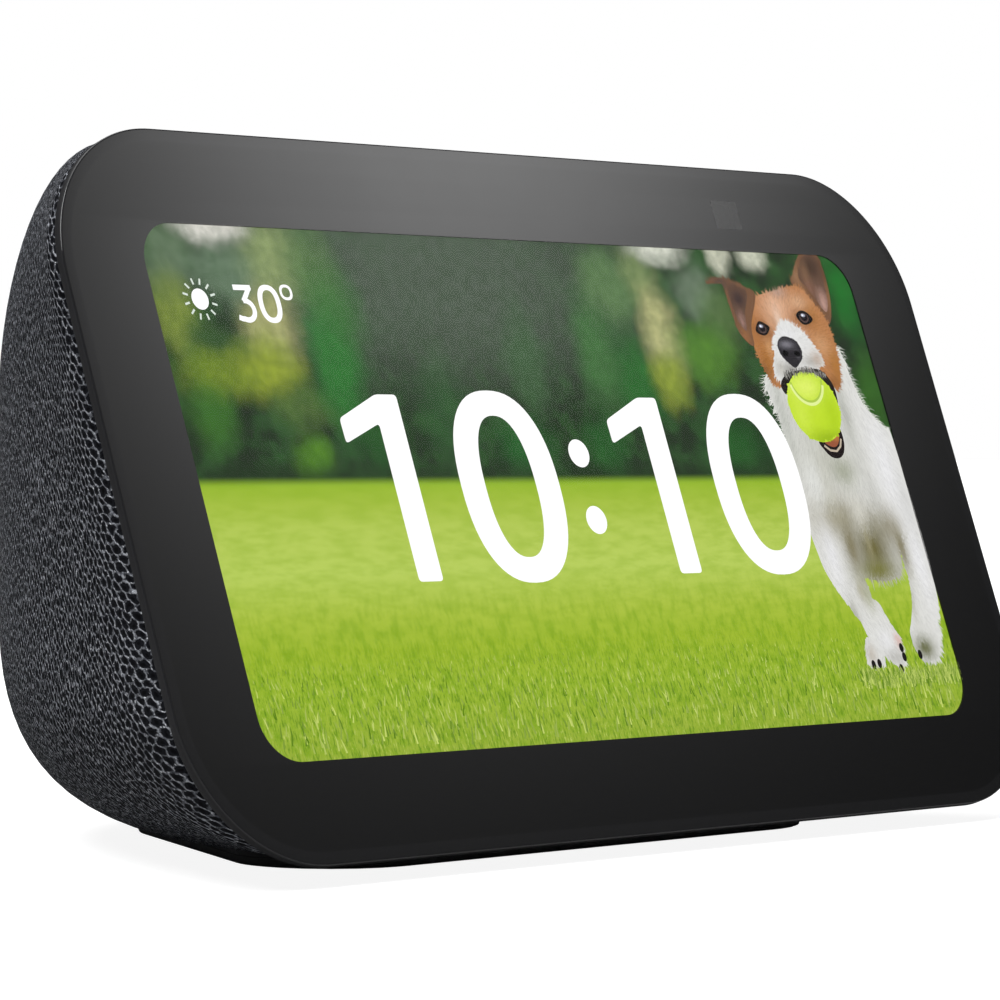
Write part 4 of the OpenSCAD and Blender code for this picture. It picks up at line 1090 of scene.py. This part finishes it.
def eye(paint, step, middle, half, lean):
    """A dark eye from its lids inward to the light in it. half holds its half sizes."""
    (u, v), (w, h) = middle, half
    lids = [
        (u - w * 1.35, v - 0.25 * lean), (u - w * 0.4, v + h * 1.15), (u + w * 0.7, v + h * 0.9),
        (u + w * 1.5, v + 0.15 * lean), (u + w * 0.5, v - h), (u - w * 0.6, v - h),
    ]
    paint.shape(smooth_outline(lids), DARK)
    for place, half_w, half_h, steps, colour in (
        (middle, w * 0.8, h * 0.8, 24, srgb(84, 66, 64)),
        ((u, v + 0.1), w * 0.6, h * 0.66, 20, srgb(26, 22, 26)),
        ((u - 0.1, v + h * 0.4), w * 0.4, h * 0.3, 16, srgb(150, 152, 168)),
        ((u - 0.2, v + h * 0.4), w * 0.2, h * 0.18, 16, srgb(232, 234, 244)),
    ):
        step()
        paint.shape(superellipse(place, half_w, half_h, 2, steps), colour)


def draw_dog(paint, rng):
    """A white and tan terrier that runs with a ball. Each shape lies in front of the last."""

    def step():
        paint.depth -= PAINT_STEP / 4

    def furry(points, colour, count, flow, length=1.1, width=0.14, spread=0.35, contrast=0.14):
        outline = smooth_outline(points)
        paint.shape(outline, colour)
        step()
        mosaic(paint, outline, colour)
        step()
        broad = outline * 0.97 + outline.mean(0) * 0.03
        hairs(paint, rng, broad, count // 2, colour, flow, length * 0.9, width * 3.4, spread, 0.03)
        step()
        hairs(paint, rng, outline, count, colour, flow, length, width, spread, contrast)
        step()

    furry(LEG_BACK, coat_colour, 60, down, 0.7)
    furry(PAW_BACK, coat_colour, 140, down, 0.7)
    furry(BODY, coat_colour, 4600, down, 1.4)
    # Loose hair on the neck's two sides
    for place in smooth_outline(BODY):
        if place[1] > 3 and (place[0] > 55 or place[0] < 41) and place[0] + 1 < DISPLAY_W / 2:
            for _ in range(3):
                away = 0.0 if place[0] > 50 else TAU / 2
                angle = away + (0.3 - 1.3 * rng.random()) * (1 if place[0] > 50 else -1)
                paint.stroke(place, angle, 0.6 + 1.0 * rng.random(), 0.06, srgb(226, 228, 220), -0.4)
    step()
    furry(LEG_RIGHT, coat_colour, 1300, down, 1.0)
    furry(LEG_LEFT, coat_colour, 1500, leaning(math.pi + 0.5), 1.0)
    claws = [(44.9, -23.8), (46.1, -23.7), (50.2, -24.5), (51.4, -23.0), (51.3, -21.8), (54.7, -22.8)]
    for u, v in claws:
        paint.shape(superellipse((u, v), 0.42, 0.62, 2, 16), DARK)
    step()
    furry(EAR_RIGHT, ear_colour, 420, leaning(0), 0.9, 0.12)
    furry(EAR_RIGHT_INNER, inner_ear_colour, 340, leaning(0.2), 0.9, 0.1, contrast=0.25)
    furry(HEAD, face_colour, 3400, from_nose, 0.7, 0.1, contrast=0.24)
    furry(EAR_LEFT, ear_colour, 360, leaning(0.5), 0.7, 0.1)
    furry(EAR_LEFT_INNER, inner_ear_colour, 240, leaning(0), 0.6, 0.1, contrast=0.25)
    furry(MUZZLE, muzzle_colour, 1200, from_nose, 0.7, 0.1)
    paint.shape(smooth_outline(LIP), srgb(34, 30, 28))
    step()
    paint.shape(smooth_outline(JAW), srgb(30, 24, 24))
    step()
    paint.shape(ribbon(np.array(TEETH), 0.3), srgb(190, 176, 156))
    step()
    furry(TONGUE, shaded(srgb(150, 84, 58), [((50, 6.3), (0.8, 0.6), srgb(196, 130, 70), 0.8)]), 120,
          leaning(0), 0.4, 0.1)
    step()
    ball = superellipse(BALL[0], BALL[1], BALL[2], 2.05, 72)
    paint.shape(ball, ball_colour(*BALL[0]))
    step()
    inner = superellipse(BALL[0], BALL[1] - 0.3, BALL[2] - 0.3, 2.05, 60)
    hairs(paint, rng, inner, 1500, ball_colour, lambda u, v: TAU * rng.random(), 0.6, 0.7, 0, 0.02)
    step()
    hairs(paint, rng, ball * 0.99 + np.array(BALL[0]) * 0.01, 1800, ball_colour,
          lambda u, v: TAU * rng.random(), 0.4, 0.14, 0, 0.07)
    step()
    paint.shape(ribbon(arc((47.0, 14.35), 3.2, 3.5, 195, 352, 24), 0.34), srgb(168, 196, 74))
    step()
    paint.shape(ribbon(arc((47.0, 14.0), 3.3, 3.5, 195, 345, 24), 0.42), srgb(222, 238, 150))
    step()
    # Lip hair that hangs over the ball's top
    for _ in range(220):
        u = 43.2 + 8.2 * rng.random()
        root = np.array([u, 15.1 - 0.1 * abs(u - 47.5) ** 1.4 + 0.6 * rng.random()])
        shade = rng.random()
        paint.stroke(root, -TAU / 4 + 0.7 * (rng.random() - 0.5), 0.5 + 0.5 * rng.random(), 0.09,
                     mixed(srgb(36, 34, 32), srgb(186, 184, 176), shade * shade))
    step()
    furry(NOSE, nose_colour, 700, lambda u, v: TAU * rng.random(), 0.22, 0.12, contrast=0.1)
    for side in (-1, 1):
        paint.shape(superellipse((45.7 + side * 1.15, 17.3), 0.55, 0.42, 2, 20), srgb(8, 8, 9))
    step()
    eye(paint, step, (41.3, 20.55), (1.02, 0.82), 1)
    eye(paint, step, (50.3, 22.2), (1.12, 0.84), -1)


def make_paintings():
    """Everything drawn over the picture, and their one material."""
    look = paint_look()
    rng = np.random.default_rng(7)
    grass = Paint(PICTURE_DEPTH - 0.006)
    draw_grass(grass, rng, 5200, (-30.6, -20.5), window_outline(-0.6))
    grass.finish("picture_grass", look)
    dog = Paint(PICTURE_DEPTH - 0.012)
    draw_dog(dog, rng)
    front = Paint(PICTURE_DEPTH - 0.085)
    tufts = smooth_outline([(43, -24.6), (52, -25.2), (61, -24.4), (61, -27), (43, -27)])
    draw_grass(front, rng, 420, (-27, -23.8), tufts)
    dog.finish("picture_dog", look)
    front.finish("picture_front_grass", look)
    signs = Paint(PICTURE_DEPTH - 0.09)
    draw_clock(signs)
    draw_weather(signs)
    signs.finish("picture_signs", look)


# ---------------------------------------------------------------------------------------
# Knitted cover: the body's own loft, finer, with its cut-outs
# ---------------------------------------------------------------------------------------

BODY_BACK = cad_box[1][1] / MM
RIM_W = 144.6
RIM_H = 82.4
RIM_DEPTH = 2.3
REAR_Z = 30.7
RIM_CORNER = 16.3
KNIT_T = 0.7
HANDLE_EASE = 0.55
# Just behind the rim the cloth's cells are longer by RIM_STRETCH, which fades over RIM_FADE mm.
# Farther back they shrink with the body, down to CLOTH_LEAST of their size.
RIM_STRETCH = 0.7
RIM_FADE = 8
CLOTH_LEAST = 0.75
# Beside the rim the cloth stands out by up to RIM_BULGE: it rises over BULGE_RISE, and falls
# away over BULGE_FALL. It is there only where x is past BULGE_FROM, and whole BULGE_EASE later.
RIM_BULGE = 1.3
BULGE_RISE = 2.5
BULGE_FALL = 9
BULGE_FROM = 54
BULGE_EASE = 12
COVER_ROWS = 84
CORNER_STEPS = 18
STRAIGHT_STEPS = 6


def on_middle(v, depth):
    """A place on the screen's middle line as y and z."""
    return on_screen(0.0, v, depth)[1:]


def bezier(p, t):
    return (1 - t) ** 3 * p[0] + 3 * (1 - t) ** 2 * t * p[1] + 3 * (1 - t) * t * t * p[2] + t ** 3 * p[3]


def body_lines(inset):
    """The body's top and bottom lines and its half width, from the rim to the back."""
    ease = HANDLE_EASE * inset
    rear = np.array([BODY_BACK - inset, REAR_Z])
    top = on_middle(RIM_H / 2 - inset, RIM_DEPTH)
    bottom = on_middle(inset - RIM_H / 2, RIM_DEPTH)
    return (
        [top, top + [16 - ease, 2.1], rear + [0, 59 - ease], rear],
        [bottom, bottom + [53.3 - ease, -3.35], rear - [0, 33.9 - ease], rear],
        [RIM_W / 2 - inset, RIM_W / 2 - 13.6 - inset, 37.3 - ease, 0.0],
    )


def body_quarter(side, t, inset):
    """A quarter of a ring as fractions: its corner, then half of the straight stretch."""
    grow_x = t ** 2.6 if side > 0 else t ** 0.8
    fullness = 2 - 0.2 * t if side > 0 else 2 + 1.25 * t
    start_x = (RIM_CORNER - inset) / (RIM_W / 2 - inset)
    start_z = (RIM_CORNER - inset) / (RIM_H / 2 - inset)
    rx = start_x + (1 - start_x) * grow_x
    rz = start_z + (1 - start_z) * t ** 1.05
    points = [(1, side * (1 - rz) * k / STRAIGHT_STEPS) for k in range(STRAIGHT_STEPS)]
    for i in range(CORNER_STEPS + 1):
        a = TAU / 4 * i / CORNER_STEPS
        c, s = max(math.cos(a), 0) ** (2 / fullness), max(math.sin(a), 0) ** (2 / fullness)
        points.append((1 - rx + rx * c, side * (1 - rz + rz * s)))
    points += [((1 - rx) * (1 - k / STRAIGHT_STEPS), side) for k in range(1, STRAIGHT_STEPS + 1)]
    return points


def body_ring(t, inset):
    """One ring of the body, from the middle of its top round by the right side, and back."""
    top_line, bottom_line, plan = body_lines(inset)
    top, bottom, half_w = bezier(top_line, t), bezier(bottom_line, t), bezier(plan, t)
    middle, up = (top + bottom) / 2, (top - bottom) / 2
    upper, lower = body_quarter(1, t, inset), body_quarter(-1, t, inset)
    right = upper[::-1] + lower[1:]
    left = [(-x, z) for x, z in right[::-1][1:-1]]
    # The left half runs upward, so the ring closes on its first point
    return np.array([(x * half_w, *(middle + z * up)) for x, z in right + left])


def cover_rows(inset):
    """Rings of one side of the cloth, from the rim to the back."""
    steps = [(i / COVER_ROWS) ** 1.05 for i in range(COVER_ROWS)]
    return [body_ring(t, inset) for t in steps]


def make_cover():
    outer, inner = cover_rows(0.0), cover_rows(KNIT_T)
    # Round the cloth's edge at the rim: it turns in where it is tucked behind the frame
    tuck = []
    for k in range(5):
        a = TAU / 4 * k / 5
        inset = KNIT_T * 0.55 * (1 - math.sin(a))
        forward = KNIT_T * 0.55 * (1 - math.cos(a))
        ring = body_ring(0.0, inset)
        ring[:, 1:] += -SCREEN_OUT[1:] * forward
        tuck.append(ring)
    outer = tuck + outer[1:]
    swell(outer, len(tuck))
    count = len(outer[0])
    # Cloth coordinates in millimetres: round each ring, as a share of it, and along the body.
    round_0 = ring_length(outer[5])
    shares, rounds, alongs, gone, last = [], [], [], 0.0, None
    for ring in outer:
        length = ring_length(ring)
        rounds.append(min(round_0, length / CLOTH_LEAST))
        along = 0.0
        if last is not None:
            # The cloth is stretched most where it is pulled round the rim
            gap = np.linalg.norm(ring - last, axis=1).mean()
            gone += gap
            stretch = 1 + RIM_STRETCH * math.exp(-gone / RIM_FADE)
            along = alongs[-1] + gap * (rounds[-1] / length) ** 0.5 / stretch
        alongs.append(along)
        steps = np.linalg.norm(np.roll(ring, -1, 0) - ring, axis=1)
        shares.append(np.concatenate([[0], np.cumsum(steps) / length]))
        last = ring
    tip = np.array([0, BODY_BACK, REAR_Z])
    points = np.vstack(outer + [tip[None]] + inner + [(tip - [0, KNIT_T, 0])[None]])
    rows = len(outer)
    faces = ring_faces(count, rows)
    final = (rows - 1) * count
    faces += [(final + i, final + (i + 1) % count, rows * count) for i in range(count)]
    base = rows * count + 1
    faces += [tuple(reversed(f)) for f in ring_faces(count, len(inner), base)]
    end = base + (len(inner) - 1) * count
    faces += [(end + (i + 1) % count, end + i, end + count) for i in range(count)]
    faces += [((i + 1) % count, i, base + i, base + (i + 1) % count) for i in range(count)]
    obj = piece("knitted_cover", points, faces, slot="knit_fabric", uv=np.zeros((len(points), 2)))
    # The cloth's two halves are laid out from the middle of each side, and meet at the top and
    # the bottom
    cloth = obj.data.uv_layers[0].data
    for face in obj.data.polygons:
        if max(face.vertices) > rows * count:
            continue
        column = {v % count for v in face.vertices if v < rows * count}
        closing = column == {0, count - 1}
        left_half = closing or min(column) >= count // 2
        for corner, vertex in zip(face.loop_indices, face.vertices):
            row, i = divmod(min(vertex, rows * count - 1), count)
            if vertex == rows * count:
                cloth[corner].uv = (round_0 / 2 if left_half else 0, alongs[-1] + gap)
                continue
            share = shares[row][count if closing and i == 0 else i]
            u = (share - 0.75) * rounds[row] + round_0 / 2 if left_half else (share - 0.25) * rounds[row]
            cloth[corner].uv = (u, alongs[row])
    for cutter in cover_cutters():
        cut = obj.modifiers.new("cut", "BOOLEAN")
        cut.operation = "DIFFERENCE"
        cut.solver = "EXACT"
        cut.object = cutter
    apply_modifiers(obj)
    obj.data.shade_smooth()
    sharp_by_angle(obj, 50)
    obj.data.materials.append(knit_look())
    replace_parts(obj, "fabric_cover")


def swell(rings, first):
    """The cloth at the two sides stands out a little just behind the rim, where it turns in."""
    still = [ring.copy() for ring in rings]
    gone = 0.0
    for k in range(first, len(rings) - 1):
        ring, along = still[k], still[k + 1] - still[k - 1]
        gone += np.linalg.norm(still[k] - still[k - 1], axis=1).mean()
        out = np.cross(along, np.roll(ring, -1, 0) - np.roll(ring, 1, 0))
        out /= np.linalg.norm(out, axis=1)[:, None]
        out *= np.sign((out * (ring - ring.mean(0))).sum(1))[:, None]
        share = np.clip((abs(ring[:, 0]) - BULGE_FROM) / BULGE_EASE, 0, 1)
        share = share * share * (3 - 2 * share)
        height = RIM_BULGE * (1 - math.exp(-gone / BULGE_RISE)) * math.exp(-gone / BULGE_FALL)
        rings[k] = ring + out * (share * height)[:, None]


def ring_length(ring):
    return np.linalg.norm(ring - np.roll(ring, 1, 0), axis=1).sum()


def apply_modifiers(obj):
    """Makes an object's modifiers part of its mesh."""
    depsgraph = bpy.context.evaluated_depsgraph_get()
    mesh = bpy.data.meshes.new_from_object(obj.evaluated_get(depsgraph))
    cutters = [m.object for m in obj.modifiers if m.type == "BOOLEAN"]
    obj.modifiers.clear()
    obj.data = mesh
    for cutter in cutters:
        bpy.data.objects.remove(cutter)


def prism(name, outline, low, high):
    """A cutter: an outline in x and y, drawn up from low to high."""
    n = len(outline)
    points = [(x, y, low) for x, y in outline] + [(x, y, high) for x, y in outline]
    faces = [tuple(range(n - 1, -1, -1)), tuple(range(n, 2 * n))] + ring_faces(n, 2)
    return cutter_object(name, points, faces)


def cutter_object(name, points, faces):
    mesh = bpy.data.meshes.new(name)
    mesh.from_pydata([tuple(c * MM for c in p) for p in points], [], faces)
    obj = bpy.data.objects.new(name, mesh)
    bpy.context.scene.collection.objects.link(obj)
    return obj


def cover_cutters():
    """The control strip's, the foot's and the power inlet's openings in the cloth."""
    gap = 0.12
    (x0, _, _), (x1, y1, _) = (np.array(c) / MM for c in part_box("control_strip"))
    w, back, front = x1 - x0 + 2 * gap, y1 + gap, cad_box[0][1] / MM
    r = 4
    strip = [(w / 2, front), (w / 2, back - r)]
    strip += [tuple(p) for p in arc((w / 2 - r, back - r), r, r, 0, 90, 8)][1:]
    strip += [(-x, y) for x, y in strip[::-1]]
    foot = outline_of("rubber_foot", 0.0)
    low, high = (np.array(c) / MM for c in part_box("jack_bezel"))
    middle, radius = (low + high) / 2, (high[0] - low[0]) / 2 + 0.06
    n = 48
    jack = []
    for y in (high[1] - 7, high[1] + 7):
        turns = [TAU * i / n for i in range(n)]
        jack += [(middle[0] + radius * math.cos(a), y, middle[2] + radius * math.sin(a)) for a in turns]
    jack_faces = [tuple(range(n)), tuple(range(2 * n - 1, n - 1, -1))]
    jack_faces += [tuple(reversed(f)) for f in ring_faces(n, 2)]
    return [
        prism("strip_cutter", strip, 70, 100),
        prism("foot_cutter", foot, -1, 3),
        cutter_object("jack_cutter", jack, jack_faces),
    ]


FOOT_ROUND = 0.45


def make_foot():
    """The rubber foot with its lower edge rounded off."""
    outline = np.array(outline_of("rubber_foot", 1.0))
    low, high = (np.array(c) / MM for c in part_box("rubber_foot"))
    side = np.roll(outline, -1, 0) - np.roll(outline, 1, 0)
    inward = np.stack([-side[:, 1], side[:, 0]], -1) / np.linalg.norm(side, axis=1)[:, None]
    rings = []
    for k in range(7):
        a = TAU / 4 * k / 6
        inset, height = 1.5 * FOOT_ROUND * (1 - math.sin(a)), FOOT_ROUND * (1 - math.cos(a))
        rings.append((outline + inward * inset, height))
    rings.append((outline, high[2]))
    n = len(outline)
    points = np.vstack([np.column_stack([ring, np.full(n, low[2] + z)]) for ring, z in rings])
    faces = ring_faces(n, len(rings))
    faces += facing(points, flat_faces([rings[0][0]]), (0, 0, -1))
    faces += facing(points, flat_faces([outline], n * (len(rings) - 1)), (0, 0, 1))
    obj = piece("foot_pad", points, faces, slot="foot_rubber")
    sharp_by_angle(obj, 50)
    obj.data.materials.append(SLOT_LOOKS["foot_rubber"]())
    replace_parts(obj, "rubber_foot")


def outline_of(name, z_share):
    """A flat node's outline in x and y, counter-clockwise, from the points at one height."""
    points = node_mesh(name)[0]
    level = points[:, 2].min() + z_share * np.ptp(points[:, 2])
    ring = points[abs(points[:, 2] - level) < 0.01][:, :2]
    ring = np.unique(ring.round(3), axis=0)
    middle = (ring.max(0) + ring.min(0)) / 2
    angle = np.arctan2(ring[:, 1] - middle[1], ring[:, 0] - middle[0])
    return [tuple(p) for p in ring[np.argsort(angle)]]


CELL = 1.23


def knit_look():
    """Warp knit: a net of pale threads round dark eyelets, over a second darker net. The
    eyelets are CELL apart along the body's depth, in staggered rows."""
    n = Nodes("knit_fabric")
    uv = n.uv()
    jitter = n.put("ShaderNodeTexNoise", {"Vector": uv, "Scale": 0.7, "Detail": 2.5, "Roughness": 0.6})
    wobble = n.vector("SUBTRACT", jitter.outputs["Color"], (0.5, 0.5, 0.5))
    wobble = n.vector("MULTIPLY", wobble, (1.5, 1.3, 0))
    # Columns slip along each other, more so away from the rim
    slip = n.math("SUBTRACT", n.noise(uv, 1.0, 2, 0.6, (0.12, 0.9, 1)), 0.5)
    from_rim = n.put("ShaderNodeSeparateXYZ", {0: uv}).outputs[1]
    slip = n.math("MULTIPLY", slip, n.ramp(from_rim, 1, 12, 0.6, 5.0))
    slip = n.put("ShaderNodeCombineXYZ", {0: slip}).outputs[0]
    place = n.vector("ADD", n.vector("ADD", uv, wobble), slip)
    place = n.vector("MULTIPLY", place, (1 / CELL, 1 / CELL, 0))
    # Two grids of cell middles, the second half a cell aside and half a row on
    size = (1.732, 1.0, 1.0)
    half = (0.866, 0.5, 0)
    a = n.vector("SUBTRACT", wrapped(n, place, size), half)
    b = n.vector("SUBTRACT", wrapped(n, n.vector("SUBTRACT", place, half), size), half)
    away = n.math("MINIMUM", n.vector("LENGTH", a), n.vector("LENGTH", b))
    edge = n.math("MAXIMUM", hex_edge(n, a), hex_edge(n, b))
    edge = n.math("MINIMUM", edge, n.math("SUBTRACT", 0.53, away))
    thread = n.ramp(edge, 0.16, 0.03)
    under = n.math("MULTIPLY", n.ramp(away, 0.12, 0.24), n.ramp(away, 0.40, 0.28))
    # Yarns of one slant are painted darker than those of the other: painted shade, as if the light fell
    # from one side
    near = n.put("ShaderNodeMix", data_type="VECTOR")
    n.plug(near.inputs[0], n.math("LESS_THAN", n.vector("LENGTH", b), n.vector("LENGTH", a)))
    n.plug(near.inputs[4], a)
    n.plug(near.inputs[5], b)
    split = n.put("ShaderNodeSeparateXYZ", {0: near.outputs[1]})
    over = n.ramp(n.math("MULTIPLY", split.outputs[0], split.outputs[1]), 0.03, -0.03, 0.3, 1.0)
    fleck = n.noise(uv, 1.9, 2, 0.7)
    painted_glint = n.noise(uv, 2.9, 1, 0.6)
    fibre = n.noise(uv, 7.0, 2, 0.7, (1.6, 0.5, 1))
    broad = n.noise(uv, 0.06, 3)
    yarn = n.mix(n.ramp(fleck, 0.35, 0.65), srgb(92, 95, 103), srgb(200, 204, 212))
    # Painted shade on the darker slant of yarn, then painted glints: near-white flecks on the threads
    yarn = n.mix(over, srgb(44, 46, 52), yarn)
    yarn = n.mix(n.ramp(painted_glint, 0.60, 0.70), yarn, srgb(240, 243, 250))
    yarn = n.mix(n.ramp(fibre, 0.3, 0.7, 0.4, 0), yarn, srgb(20, 22, 26))
    hole = n.mix(n.ramp(broad, 0.3, 0.7), srgb(4, 4, 7), srgb(7, 7, 10))
    hole = n.mix(n.math("MULTIPLY", under, 0.4), hole, srgb(40, 42, 48))
    height = n.math("MULTIPLY_ADD", fibre, 0.25, thread)
    n.set(Base_Color=n.mix(thread, hole, yarn), Roughness=0.85, Specular_IOR_Level=0.06,
          Normal=n.bump(height, 0.16, 1.0))
    return n.material


def wrapped(n, place, size):
    """The place within its cell of a grid of a size."""
    return n.put("ShaderNodeVectorMath", {0: place, 1: size, 2: (0, 0, 0)}, operation="WRAP").outputs[0]


def hex_edge(n, p):
    """How far a place is inside a hexagon of width 1 about 0, negative outside."""
    away = n.put("ShaderNodeVectorMath", {0: p}, operation="ABSOLUTE").outputs[0]
    slant = n.vector("DOT_PRODUCT", away, (0.866, 0.5, 0))
    across = n.put("ShaderNodeSeparateXYZ", {0: away}).outputs[1]
    return n.math("SUBTRACT", 0.5, n.math("MAXIMUM", slant, across))


# ---------------------------------------------------------------------------------------
# Marks on the keys
# ---------------------------------------------------------------------------------------


def mark_look():
    n = Nodes("key_marks")
    wear = n.noise(n.where(), 3.0, 3)
    print_colour = n.mix(n.ramp(wear, 0.3, 0.7), srgb(196, 198, 202), srgb(168, 170, 174))
    n.set(Base_Color=print_colour, Roughness=0.5)
    return n.material


def flat_mark(name, outlines, body, look):
    """A raised print on a key's top, from outlines in x and y about the key's middle."""
    low, high = (np.array(c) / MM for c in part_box(body + "_button"))
    middle = (low + high) / 2
    top = high[2]
    parts = []
    for outline, holes in outlines:
        rings = [np.asarray(outline)] + [np.asarray(h) for h in holes]
        joined = np.vstack(rings) + middle[:2]
        n = len(joined)
        points = [(x, y, top + 0.02) for x, y in joined] + [(x, y, top - 0.05) for x, y in joined]
        faces = facing(points, flat_faces(rings), (0, 0, 1))
        faces += facing(points, flat_faces(rings, n), (0, 0, -1))
        start = 0
        for k, ring in enumerate(rings):
            m = len(ring)
            for i in range(m):
                j = (i + 1) % m
                wall = (start + i, start + j, n + start + j, n + start + i)
                faces.append(wall if k else tuple(reversed(wall)))
            start += m
        parts.append((points, faces))
    points, faces = join_meshes(parts)
    obj = piece(name, points, faces, body=body, slot="key_plastic", smooth=False)
    obj.data.materials.append(look)


def make_marks():
    look = mark_look()
    bar = rounded_rect(3.0, 0.5, 0.24, per_corner=4)
    flat_mark("volume_down_mark", [(bar, [])], "volume_down", look)
    # Arms above and below the bar, so that the plus has no overlap
    arms = [rounded_rect(0.5, 1.25, 0.2, (0, s * 0.875), 4) for s in (-1, 1)]
    flat_mark("volume_up_mark", [(bar, [])] + [(arm, []) for arm in arms], "volume_up", look)
    circle = superellipse((0, 0), 1.7, 1.7, 2, 40)
    inner = superellipse((0, 0), 1.3, 1.3, 2, 40)
    turn = np.array([[math.cos(0.79), -math.sin(0.79)], [math.sin(0.79), math.cos(0.79)]])
    slash = rounded_rect(2.5, 0.4, 0.15, per_corner=3) @ turn.T
    flat_mark("mic_off_mark", [(circle, [inner]), (slash, [])], "mic_off", look)


# ---------------------------------------------------------------------------------------
# Floor, lights and surroundings
# ---------------------------------------------------------------------------------------


FLOOR_HALF_M = 12.0


def make_floor():
    mesh = bpy.data.meshes.new("floor")
    places = [(x * FLOOR_HALF_M, y * FLOOR_HALF_M, 0) for x, y in ((-1, -1), (1, -1), (1, 1), (-1, 1))]
    mesh.from_pydata(places, [], [(0, 1, 2, 3)])
    floor = bpy.data.objects.new("floor", mesh)
    bpy.context.scene.collection.objects.link(floor)
    n = Nodes("floor")
    paper = n.noise(n.where(), 0.4, 4, 0.6)
    seen = n.put("ShaderNodeLightPath").outputs["Is Camera Ray"]
    n.set(Base_Color=n.mix(paper, (0.36, 0.36, 0.36), (0.39, 0.39, 0.39)), Roughness=0.9,
          Specular_IOR_Level=0.0, Emission_Color=(1, 1, 1),
          Emission_Strength=n.math("MULTIPLY", seen, 0.9))
    mesh.materials.append(n.material)


def direction(azimuth, elevation):
    """A way in the part's frame: azimuth from -Y towards +X, in degrees."""
    a, e = math.radians(azimuth), math.radians(elevation)
    return Vector((math.sin(a) * math.cos(e), -math.cos(a) * math.cos(e), math.sin(e)))


def add_sun(name, azimuth, elevation, strength, spread):
    data = bpy.data.lights.new(name, "SUN")
    data.energy = strength
    data.angle = math.radians(spread)
    sun = bpy.data.objects.new(name, data)
    bpy.context.scene.collection.objects.link(sun)
    sun.rotation_euler = direction(azimuth, elevation).to_track_quat("Z", "Y").to_euler()


ROOM_LIGHT = 0.05
# Soft panels in the room: azimuth, elevation, how sharply each falls off and its brightness
PANELS = [
    (56.3, 29.9, 400, 2.4),
    (54.5, 29.5, 150, 0.6),
    (49.0, 25.0, 90, 0.08),
]


def make_room():
    """A white backdrop to look at, and a dim room with soft panels that the glass mirrors."""
    world = bpy.data.worlds.new("room")
    bpy.context.scene.world = world
    world.use_nodes = True
    tree = world.node_tree
    back = tree.nodes["Background"]
    n = Nodes.__new__(Nodes)
    n.tree = tree
    way = n.put("ShaderNodeTexCoord").outputs["Generated"]
    light = ROOM_LIGHT
    for azimuth, elevation, sharpness, strength in PANELS:
        near = n.vector("DOT_PRODUCT", way, tuple(direction(azimuth, elevation)))
        fall = n.math("EXPONENT", n.math("MULTIPLY", n.math("SUBTRACT", near, 1.0), sharpness))
        light = n.math("MULTIPLY_ADD", fall, strength, light)
    seen = n.put("ShaderNodeLightPath").outputs["Is Camera Ray"]
    strength = n.math("ADD", n.math("MULTIPLY", light, n.math("SUBTRACT", 1.0, seen)), seen)
    back.inputs["Color"].default_value = (1, 1, 1, 1)
    tree.links.new(strength, back.inputs["Strength"])
    add_sun("key", -75, 58, 3.0, 40)
    add_sun("top", 160, 75, 1.6, 60)
    bpy.context.scene.view_settings.view_transform = "Standard"


# ---------------------------------------------------------------------------------------
# The whole object
# ---------------------------------------------------------------------------------------

dress_cad_nodes()
border = make_border()
make_panes()
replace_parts(border, "cover_glass")
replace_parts(make_display(), "lcd_panel")
make_paintings()
make_cover()
make_foot()
make_marks()
make_floor()
make_room()
